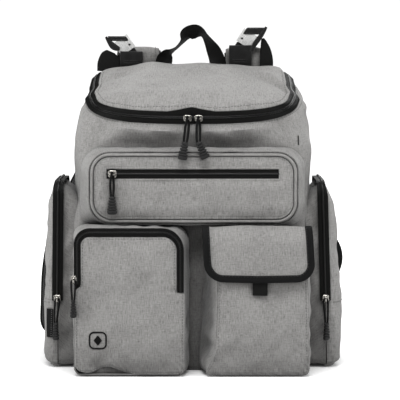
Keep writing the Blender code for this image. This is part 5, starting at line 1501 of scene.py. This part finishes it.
def side_lower(side, label):
    """The fixed lower part, its foot turned under, and the stitching along the fold."""
    rows_z = np.r_[np.linspace(0.0032, 0.0085, 8), np.linspace(0.0105, SIDE_FOLD + 0.0010, 44)]
    rows_z = rows_z[:, None]
    tuck = 1 - ease(rows_z, 0.0032, 0.006)
    across = np.linspace(-1, 1, 141)
    near = seam_x(rows_z, side) + 0.0003
    far = side_out(rows_z, side) + 0.0008 - 0.0045 * tuck
    grid = grid_of(side * (near + (far - near) * shell(np.abs(across))),
                   SIDE_MID + across * (SIDE_HALF - 0.0035 * tuck), rows_z)
    grid[0, :, 2] = 0.0026
    x, y, z = axes(grid)
    inner = 1 - np.abs(across)[None, :]
    folds = 0.0009 * sin((z + 0.5 * y) / 0.011) * bell(z, 0.035, 0.02)
    bulge = 0.0018 * ease(inner, 0, 0.4) + 0.0011 * SOFT(grid) + 0.0006 * CRUMPLE(grid) + folds
    x += side * ease(inner, 0, 0.08) * ease(rows_z, 0.003, 0.01) * bulge
    share = np.linspace(0.15, 0.95, 5)[:, None]
    foot = grid_of(side * (0.187 + (np.abs(x[0]) - 0.187) * share), y[0], 0.0024)
    low = sheet("side_lower_cloth_" + label, np.concatenate([foot, grid], 0), 0.0020, GREY,
                (side * 0.187, 0, 0.06), uv="yz")
    place(low, "side_lower_" + label)
    band = grid[-3, 3:-3]
    out = grid_of(side * 1.0, np.sign(band[:, 1]) * 0.4, 0.0)
    place(stitches("side_fold_stitching_" + label, [(band + np.array([side * 0.0002, 0, 0]),
                                                     out)]))


def side_zip(side, label):
    path_y, path_z = arch(-0.0011, SIDE_FOLD + 0.0006, 220).T
    seam = seam_x(path_z, side)
    widest = np.maximum(side_out(path_z, side) - seam - 0.0030, 0.0030)
    t = np.linspace(0, 1, 7)[:, None]
    bow = 0.0004 * sin(PI * t) * np.sign(-path_y) * (np.abs(path_y) > 0.05)
    front_body = "side_front_" + label
    # name, edges from the seam, body, CAD node
    for name, low, high, carrier, node in (
            ("side_zip_tape_back_", -0.0076, -0.0005, "bag", "side_tape_inner_"),
            ("side_zip_tape_front_", 0.0005, 0.0074, front_body, "side_tape_outer_")):
        offset = np.minimum(low + (high - low) * t, widest)
        tape = sheet(name + label, grid_of(side * (seam + offset), path_y - bow, path_z), 0.0012,
                     TAPE, (side * 0.188, 0, 0.15))
        place(tape, node + label, body=carrier, slot="black_tape")
    y, z = arch(-0.0022, SIDE_FOLD + 0.0006, 220).T
    coil = sweep("side_zip_coil_" + label, grid_of(side * seam_x(z, side), y, z), 0.0030, 0.0016,
                 COIL, across=(1, 0, 0), steps=10)
    place(coil, body=front_body, slot="black_tape")
    low_z = SIDE_FOLD + 0.003
    slider_and_pull("side_" + label,
                    (side * float(seam_x(low_z, side)), SIDE_FRONT - 0.0018, low_z), "Z",
                    drop=straight(0.032, 0.0086), turn=60 * side, width=0.0090,
                    shift=-0.0020 if side < 0 else 0.0010)


for side, label in ((-1, "left"), (1, "right")):
    side_wall(side, label)
    side_door(side, label)
    side_lower(side, label)
    side_zip(side, label)

# blank woven label on the left side pocket's front corner
z = np.linspace(0.043, 0.083, 30)[:, None]
share = 0.985 - 0.105 * np.linspace(0, 1, 13)
near, far = seam_x(z, 1) + 0.0003, side_out(z, 1) + 0.0008
tag = grid_of(-(near + (far - near) * shell(share) + 0.0022),
              SIDE_MID - share * SIDE_HALF - 0.0012, z)
TAG_INSIDE = (-0.187, 0, 0.06)
place(sheet("side_woven_label", tag, 0.0009, BIND, TAG_INSIDE), "side_label_left",
      slot="black_tape")
out = outward(tag, TAG_INSIDE)
lines = [(tag[:, col] + out[:, col] * 0.0002, out[:, col]) for col in (1, -2)]
place(stitches("label_stitching", lines, pitch=0.003, length=0.0018), slot="black_tape")

# ------------------------------------------------------------------ carry handle
HANDLE = catmull([  # x, y, z, direction across the webbing
    (-0.0420, 0.0905, 0.4060, 1.0, 0.0, 0.0), (-0.0424, 0.0905, 0.4240, 1.0, 0.0, -0.04),
    (-0.0363, 0.0905, 0.4372, 0.715, 0.69, -0.08), (-0.0297, 0.0903, 0.4422, 0.31, 0.95, -0.06),
    (-0.0228, 0.0898, 0.4468, 0.06, 0.99, -0.12), (-0.0138, 0.0886, 0.4564, 0.20, 0.965, -0.17),
    (-0.0094, 0.0876, 0.4645, 0.476, 0.66, -0.58), (-0.0031, 0.0868, 0.4686, 0.47, 0.52, -0.71),
    (0.0056, 0.0864, 0.4700, 0.32, 0.55, -0.77), (0.0133, 0.0866, 0.4676, 0.19, 0.77, -0.61),
    (0.0187, 0.0872, 0.4627, -0.17, 0.93, -0.34), (0.0248, 0.0884, 0.4532, -0.47, 0.83, -0.31),
    (0.0305, 0.0895, 0.4428, -0.744, 0.575, -0.34),
    (0.0351, 0.0903, 0.4314, -0.913, 0.355, -0.20), (0.0376, 0.0905, 0.4200, -1.0, 0.0, -0.05),
    (0.0385, 0.0905, 0.4060, -1.0, 0.0, 0.0)], 9)


def cup(rings, through, outline):
    """Webbing that curls a little across its width."""
    return rings + through[:, None] * (0.0004 * (1 - (outline[None, :, :1] * 2) ** 2))


place(sweep("carry_handle_webbing", HANDLE[:, :3], 0.0242, 0.0016, WEB,
            across=unit(HANDLE[:, 3:]), kind="flat", steps=34, puff=cup),
      "carry_handle", body="handle", slot="black_webbing")

# ------------------------------------------------------------------ padded shoulder straps
# x, y, z, width, z of the direction across (whose x is 1 and y is 0), from the top down
STRAPS = {
    "left": [
        (-0.0800, 0.1003, 0.396, 0.064, 0), (-0.0800, 0.1003, 0.418, 0.064, 0),
        (-0.0800, 0.1008, 0.4310, 0.064, 0), (-0.0798, 0.1035, 0.4400, 0.063, 0),
        (-0.0792, 0.1090, 0.4425, 0.062, 0), (-0.0783, 0.1150, 0.4370, 0.060, 0),
        (-0.0785, 0.1190, 0.4220, 0.058, 0), (-0.0880, 0.1215, 0.3850, 0.058, -0.18),
        (-0.1030, 0.1215, 0.3400, 0.058, -0.30), (-0.1235, 0.1210, 0.2920, 0.059, -0.38),
        (-0.1540, 0.1205, 0.2350, 0.060, -0.34), (-0.1800, 0.1205, 0.1800, 0.061, -0.20),
        (-0.1925, 0.1205, 0.1200, 0.062, -0.09), (-0.1955, 0.1195, 0.0650, 0.062, -0.04),
        (-0.1963, 0.1182, 0.0360, 0.061, 0), (-0.1965, 0.1175, 0.0235, 0.047, 0)],
    "right": [
        (0.0770, 0.1003, 0.396, 0.058, 0), (0.0770, 0.1003, 0.418, 0.058, 0),
        (0.0770, 0.1008, 0.4310, 0.058, 0), (0.0770, 0.1035, 0.4400, 0.058, 0),
        (0.0770, 0.1090, 0.4425, 0.058, 0), (0.0773, 0.1150, 0.4370, 0.058, 0),
        (0.0785, 0.1190, 0.4220, 0.058, 0), (0.0870, 0.1215, 0.3850, 0.058, 0.14),
        (0.0990, 0.1215, 0.3400, 0.058, 0.20), (0.1150, 0.1210, 0.2900, 0.058, 0.22),
        (0.1310, 0.1205, 0.2420, 0.056, 0.22), (0.1385, 0.1198, 0.2200, 0.050, 0.20),
        (0.1420, 0.1195, 0.2060, 0.042, 0.20)],
}
CREST_PINS = ((0, 0.1020, 0.44), (0, 0.1125, 0.44))


def quilt(rings, through, outline):
    """The pad: crowned across, with two sewn channels along it."""
    u = outline[None, :, :1]
    channels = bell(np.abs(u), 0.40, 0.035)
    dome = np.sign(outline[None, :, 1:]) * (0.0009 * (1 - (2 * u) ** 2) - 0.0012 * channels)
    station = np.arange(len(rings))[:, None, None]
    fade = ease(1 - np.abs(u) * 1.9 + 0.4)
    return rings + through[:, None] * (dome * fade + 0.0003 * sin(station * 0.7) * u)


for label in ("left", "right"):
    strap_body = "shoulder_strap_" + label
    stations = catmull(STRAPS[label], 9)
    centre, width = stations[:, :3], stations[:, 3:4]
    across = unit(grid_of(1.0, 0.0, stations[:, 4]))
    thick = np.interp(centre[:, 2], [0.0, 0.03, 0.06, 0.38, 0.43],
                      [0.006, 0.0085, 0.0100, 0.0100, 0.0086])
    tangent = unit(np.gradient(centre, axis=0))
    wide = unit(across - (across * tangent).sum(-1, keepdims=True) * tangent)
    through = unit(np.cross(tangent, wide))
    flip = 1 if through[len(centre) // 2, 1] > 0 else -1
    face_out = through * flip  # towards +Y on the long part
    pad = sweep("shoulder_pad_" + label, centre, width[:, 0] - 0.0012, thick, [GREY, MESH],
                across=across, kind="pad", steps=44,
                pick=lambda a, b: 0 if b * flip > -0.05 else 1, puff=quilt)
    bridge(pad, strap_body, CREST_PINS, "strap_tab_" + label, "shoulder_strap_" + label)
    # edge binding round the pad, starting behind the crest
    reach = wide * (width / 2 - 0.0012)
    first = int(np.argmax(centre[:, 1] > 0.1135))
    round_edge = np.vstack([(centre - reach)[first:], (centre + reach)[first:][::-1]])
    line, line_across = edge_run(round_edge, np.vstack([through[first:], through[first:][::-1]]),
                                 300)
    bridge(sweep("strap_binding_" + label, line, 0.0048, 0.0050, BIND, across=line_across,
                 kind="soft", steps=12), strap_body, CREST_PINS, slot="black_webbing")
    lines = []
    for side in (-1, 1):
        line = centre + wide * side * (width * 0.40) + face_out * (thick[:, None] * 0.5 - 0.0004)
        lines.append((line[8:-4], face_out[8:-4]))
    bridge(stitches("strap_stitching_" + label, lines, lift=0.0003), strap_body, CREST_PINS)
    # webbing sewn down the middle of the strap's outer face, ending in the ladder lock
    start = 64
    line = (centre + face_out * (thick[:, None] * 0.5 + 0.0010))[start:]
    place(sweep("strap_webbing_" + label, line, 0.0240, 0.0016, WEB, across=wide[start:],
                kind="flat", steps=26), body=strap_body, slot="black_webbing")
    lines = []
    for i in (66, 68, len(centre) - 16, len(centre) - 18):
        middle = centre[i] + face_out[i] * (thick[i] * 0.5 + 0.0020)
        bar = middle[None] + wide[i][None] * np.linspace(-0.0105, 0.0105, 16)[:, None]
        lines.append((bar, face_out[i]))
    place(stitches("strap_bartacks_" + label, lines, pitch=0.0022, length=0.0017),
          body=strap_body, slot="black_webbing")

# ladder locks: a bevelled frame with three cross bars
LOCK_HALF_W, LOCK_H, LOCK_HALF_T = 0.017, 0.022, 0.0022
for label, at, tilt in (("left", (-0.1965, 0.1175, 0.0236), 0.0),
                        ("right", (0.1425, 0.1195, 0.2045), -11.3)):
    parts = []
    for z0, z1 in ((-0.0048, 0.0), (-0.0127, -0.0083), (-0.0220, -0.0173)):
        parts.append(rbox("bar", (-LOCK_HALF_W + 0.002, -LOCK_HALF_T, z0),
                          (LOCK_HALF_W - 0.002, LOCK_HALF_T, z1), PLASTIC, 0.0013))
    for side in (-1, 1):
        x0, x1 = sorted((side * LOCK_HALF_W, side * (LOCK_HALF_W - 0.0042)))
        parts.append(rbox("side", (x0, -LOCK_HALF_T, -LOCK_H), (x1, LOCK_HALF_T, 0.0), PLASTIC,
                          0.0013))
    parts.append(rbox("lip", (-0.010, -LOCK_HALF_T - 0.0012, -0.0212),
                      (0.010, -LOCK_HALF_T + 0.001, -0.0180), PLASTIC, 0.0008))
    lock = join(parts, "ladder_buckle_" + label)
    lock.data.transform(Matrix.Translation(at) @ Matrix.Rotation(radians(tilt), 4, "Y")
                        @ Matrix.Translation((0, 0, -0.001)))
    place(lock, "ladder_lock_" + label, body="ladder_lock_" + label, slot="black_plastic")

# x, y, z, width, direction across; from the bag to the ladder lock
LOWER_WEBBING = {
    "left": [
        (-0.1500, 0.0905, 0.0420, 0.025, 1, 0, 0.1), (-0.1540, 0.0940, 0.0260, 0.025, 1, 0, 0.3),
        (-0.1610, 0.1005, 0.0165, 0.025, 0.5, 0, 1.0),
        (-0.1730, 0.1065, 0.0150, 0.0225, 0.1, 0, 1.0)],
    "right": [
        (0.1480, 0.0905, 0.0300, 0.025, 1, 0, -0.5), (0.1560, 0.0935, 0.0500, 0.025, 1, 0, -0.6),
        (0.1740, 0.0990, 0.0740, 0.025, 1, 0, -0.9), (0.1960, 0.1060, 0.0990, 0.025, 1, 0, -0.8),
        (0.2105, 0.1110, 0.1290, 0.025, 1, 0, -0.2), (0.2060, 0.1140, 0.1530, 0.025, 1, 0, 0.55),
        (0.1880, 0.1155, 0.1640, 0.025, 0.55, 0, 1.0),
        (0.1700, 0.1165, 0.1670, 0.0225, 0.30, 0, 1.0),
        (0.1560, 0.1175, 0.1670, 0.0175, 0.15, 0, 1.0)],
}
for label, table in LOWER_WEBBING.items():
    stations = catmull(table, 9)
    place(sweep("lower_webbing_strip_" + label, stations[:, :3], stations[:, 3], 0.0017, WEB,
                across=unit(stations[:, 4:]), kind="flat", steps=28),
          "lower_webbing_" + label, slot="black_webbing")

# ------------------------------------------------------------------ stroller straps with buckles
SOCKET_Y = 0.0925


def stroller_socket(side, label, socket_x, socket_z, height, web):
    """A webbing loop and the buckle's socket. web: x, y, z, width, z of the way across."""
    body = "stroller_strap_" + label
    path = catmull([(side * x, y, z, w, 1, 0, side * tilt) for x, y, z, w, tilt in web], 9)
    loop = sweep("stroller_loop_" + label, path[:, :3], path[:, 3], 0.0022, WEB,
                 across=unit(path[:, 4:]), kind="soft", steps=26)
    place(loop, "stroller_webbing_" + label, body=body, slot="black_webbing")
    rib = height * 0.20
    boxes = (  # name, x0, x1, y0, y1, z0, z1, edge radius
        ("front", -0.0165, 0.0165, -0.0039, -0.0016, 0.0, height, 0.0011),
        ("rear", -0.0165, 0.0165, 0.0009, 0.0030, 0.0, height - 0.001, 0.0010),
        ("cheek_a", -0.0165, -0.0132, -0.0036, 0.0028, 0.0, height, 0.0012),
        ("cheek_b", 0.0132, 0.0165, -0.0036, 0.0028, 0.0, height, 0.0012),
        ("floor", -0.0155, 0.0155, -0.0034, 0.0026, 0.0, height - 0.0150, 0.0010),
        ("rib_a", -0.0120, 0.0120, -0.0046, -0.0034, rib, rib + 0.0014, 0.0005),
        ("rib_b", -0.0120, 0.0120, -0.0046, -0.0034, rib + 0.0030, rib + 0.0044, 0.0005))
    parts = [rbox(name, (x0, y0, z0), (x1, y1, z1), PLASTIC, radius)
             for name, x0, x1, y0, y1, z0, z1, radius in boxes]
    socket = join(parts, "buckle_socket_" + label)
    socket.data.transform(Matrix.Translation((socket_x, SOCKET_Y, socket_z)))
    place(socket, "buckle_base_" + label, body=body, slot="black_plastic")


def stroller_clip(side, label, mouth, lean, bar, arm):
    """The buckle's leaning clip, its grey strap and eyelet. bar: z0, z1, x shift, half width.
    arm: x, z, width of the curved arm from beside the bar down to the socket."""
    body = "buckle_clip_" + label
    bar_z0, bar_z1, shift, half = bar
    shift *= side
    slant = Matrix.Identity(4)
    slant[0][2] = side * lean
    parts = []
    for name, low, high, radius in (
            ("blade", (-0.0108, -0.0011, -0.0095), (0.0108, 0.0003, 0.0050), 0.0005),
            ("bar", (-half + shift, -0.0036, bar_z0), (half + shift, 0.0028, bar_z1), 0.0018),
            ("bar_lip", (-half * 0.8 + shift, -0.0044, bar_z0 + 0.0008),
             (half * 0.8 + shift, -0.0030, bar_z0 + 0.0024), 0.0006)):
        part = rbox(name, low, high, PLASTIC, radius)
        part.data.transform(slant)
        part.data.transform(Matrix.Translation(mouth))
        parts.append(part)
    arm = catmull([(side * x, 0.0900, z, w) for x, z, w in arm], 7)
    across = np.cross(unit(np.gradient(arm[:, :3], axis=0)), (0, 1, 0))
    parts.append(sweep("arm", arm[:, :3], arm[:, 3], 0.0034, PLASTIC, across=across, kind="soft",
                       steps=16))
    place(join(parts, "buckle_prong_" + label), "buckle_clip_" + label, body=body,
          slot="black_plastic")
    length = 0.0182
    rise = np.linspace(0.0004, length, 12)
    line = grid_of(mouth.x + side * (lean * rise + 0.0010),
                   mouth.y - 0.0018 - 0.0006 * sin(rise / length * PI), mouth.z + rise)
    place(sweep("buckle_strap_" + label, line, 0.0245, 0.0016, TONGUE, across=(1, 0, 0),
                kind="flat", steps=24), body=body)
    profile = [(0.0003, 0.0009), (0.0009, 0.0010), (0.0014, 0.0007), (0.0015, 0.0),
               (0.0013, -0.0006), (0.0003, -0.0007)]
    eyelet = lathe("strap_eyelet_" + label, profile, RUBBER, steps=16)
    eyelet.data.transform(Matrix.Rotation(PI / 2, 4, "X"))
    eyelet.data.transform(Matrix.Translation((
        mouth.x + side * lean * 0.0100 - side * 0.0072, mouth.y - 0.0032, mouth.z + 0.0100)))
    place(eyelet, body=body, slot="black_rubber")


def stroller_buckle(side, label, socket_x, socket_z, height, lean, web, bar, arm):
    stroller_socket(side, label, socket_x, socket_z, height, web)
    mouth = Vector((socket_x + side * 0.0028, SOCKET_Y, socket_z + height))
    stroller_clip(side, label, mouth, lean, bar, arm)


stroller_buckle(
    -1, "left", socket_x=-0.0895, socket_z=0.4185, height=0.0225, lean=0.72,
    web=[(0.1235, 0.0940, 0.4110, 0.0330, 0.12), (0.1225, 0.0944, 0.4230, 0.0340, 0.16),
         (0.1215, 0.0946, 0.4325, 0.0290, 0.22), (0.1200, 0.0946, 0.4380, 0.0210, 0.28),
         (0.1190, 0.0946, 0.4404, 0.0120, 0.30)],
    bar=(0.0150, 0.0222, 0.0030, 0.0136),
    arm=[(0.1268, 0.4622, 0.0032), (0.1226, 0.4558, 0.0062), (0.1168, 0.4492, 0.0098),
         (0.1112, 0.4458, 0.0086), (0.1068, 0.4448, 0.0050)])
stroller_buckle(
    1, "right", socket_x=0.0700, socket_z=0.4180, height=0.0320, lean=0.66,
    web=[(0.1080, 0.0940, 0.4110, 0.0190, 0.10), (0.1084, 0.0944, 0.4270, 0.0195, 0.10),
         (0.1070, 0.0946, 0.4420, 0.0160, 0.25), (0.1044, 0.0946, 0.4540, 0.0092, 0.45),
         (0.1028, 0.0946, 0.4600, 0.0040, 0.50)],
    bar=(0.0155, 0.0258, 0.0050, 0.0152),
    arm=[(0.1080, 0.4765, 0.0036), (0.1036, 0.4690, 0.0056), (0.0982, 0.4612, 0.0072),
         (0.0928, 0.4540, 0.0074), (0.0886, 0.4470, 0.0062), (0.0866, 0.4410, 0.0046)])


# ------------------------------------------------------------------ stage, lights and camera
def camera_mix(tree, unseen, seen):
    """A strength that differs between camera rays (seen) and all others."""
    light_path = tree.nodes.new("ShaderNodeLightPath")
    mix = tree.nodes.new("ShaderNodeMix")
    mix.data_type = "FLOAT"
    mix.inputs[2].default_value = unseen
    mix.inputs[3].default_value = seen
    tree.links.new(light_path.outputs["Is Camera Ray"], mix.inputs[0])
    return mix


def pale_floor():
    """Pale floor that glows to the camera, more so far away; a painted contact shadow dims the glow
    by ambient occlusion near what stands on it.
    """
    m = Nodes("pale_floor")
    # seen counts only while nothing is linked to its socket
    mix = camera_mix(m.tree, unseen=0.05, seen=0.80)
    position = m.new("ShaderNodeNewGeometry").outputs["Position"]
    distance = m.new("ShaderNodeVectorMath", operation="LENGTH")
    far = m.new("ShaderNodeMapRange")
    for key, value in (("From Min", 0.5), ("From Max", 1.6), ("To Min", 0.74), ("To Max", 1.15)):
        far.inputs[key].default_value = value
    m.put(distance.inputs[0], position)
    m.put(far.inputs["Value"], distance.outputs["Value"])
    # painted contact shadow: the camera-seen glow is multiplied by ambient occlusion near the bag
    glow_with_painted_shadow = m.new("ShaderNodeMath", operation="MULTIPLY")
    m.put(glow_with_painted_shadow.inputs[0], far.outputs["Result"])
    m.put(glow_with_painted_shadow.inputs[1], m.occlusion(distance=0.10, samples=12))
    m.put(mix.inputs[3], glow_with_painted_shadow.outputs[0])
    return m.finish(Base_Color=(0.86, 0.86, 0.86, 1), Roughness=0.8, Specular_IOR_Level=0.1,
                    Emission_Color=(1, 1, 1, 1), Emission_Strength=mix.outputs[0])


floor_mesh = bpy.data.meshes.new("floor")
floor_mesh.from_pydata([(-8, -6, 0), (8, -6, 0), (8, 14, 0), (-8, 14, 0)], [], [(0, 1, 2, 3)])
floor = add_object("floor", floor_mesh)
floor_mesh.materials.append(pale_floor())
floor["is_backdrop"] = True

world = bpy.data.worlds.new("studio")
bpy.context.scene.world = world
world.use_nodes = True
background = world.node_tree.nodes["Background"]
strength = camera_mix(world.node_tree, unseen=0.12, seen=1.05)
world.node_tree.links.new(strength.outputs[0], background.inputs["Strength"])
background.inputs["Color"].default_value = (1, 1, 1, 1)


def aim(obj, location, target):
    obj.location = location
    direction = Vector(target) - Vector(location)
    obj.rotation_euler = direction.to_track_quat("-Z", "Y").to_euler()


# name, location, target, size, watts
for name, location, target, size, power in (
        ("left_box", (-1.9, -0.75, 0.95), (0, 0, 0.24), (0.8, 1.3), 19),
        ("right_box", (1.9, -0.75, 0.95), (0, 0, 0.24), (0.8, 1.3), 14),
        ("overhead", (-0.1, -1.05, 2.0), (0, -0.02, 0.22), (1.1, 0.7), 31),
        ("rear_box", (0.4, 1.7, 1.6), (0, 0, 0.25), (1.4, 0.9), 20)):
    light = bpy.data.lights.new(name, "AREA")
    light.shape = "RECTANGLE"
    light.size, light.size_y = size
    light.energy = power
    aim(add_object(name, light), location, target)

camera = bpy.data.cameras.new("camera")
camera.sensor_width = 36.0
camera.lens = 167.0
camera.clip_start = 0.05
camera.clip_end = 60
camera_object = add_object("camera", camera)
aim(camera_object, (0.0109, -2.635, 0.463), (0.0109, -0.135, 0.2424))
scene = bpy.context.scene
scene.camera = camera_object
scene.view_settings.view_transform = "Standard"
scene.view_settings.look = "None"

low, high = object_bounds()
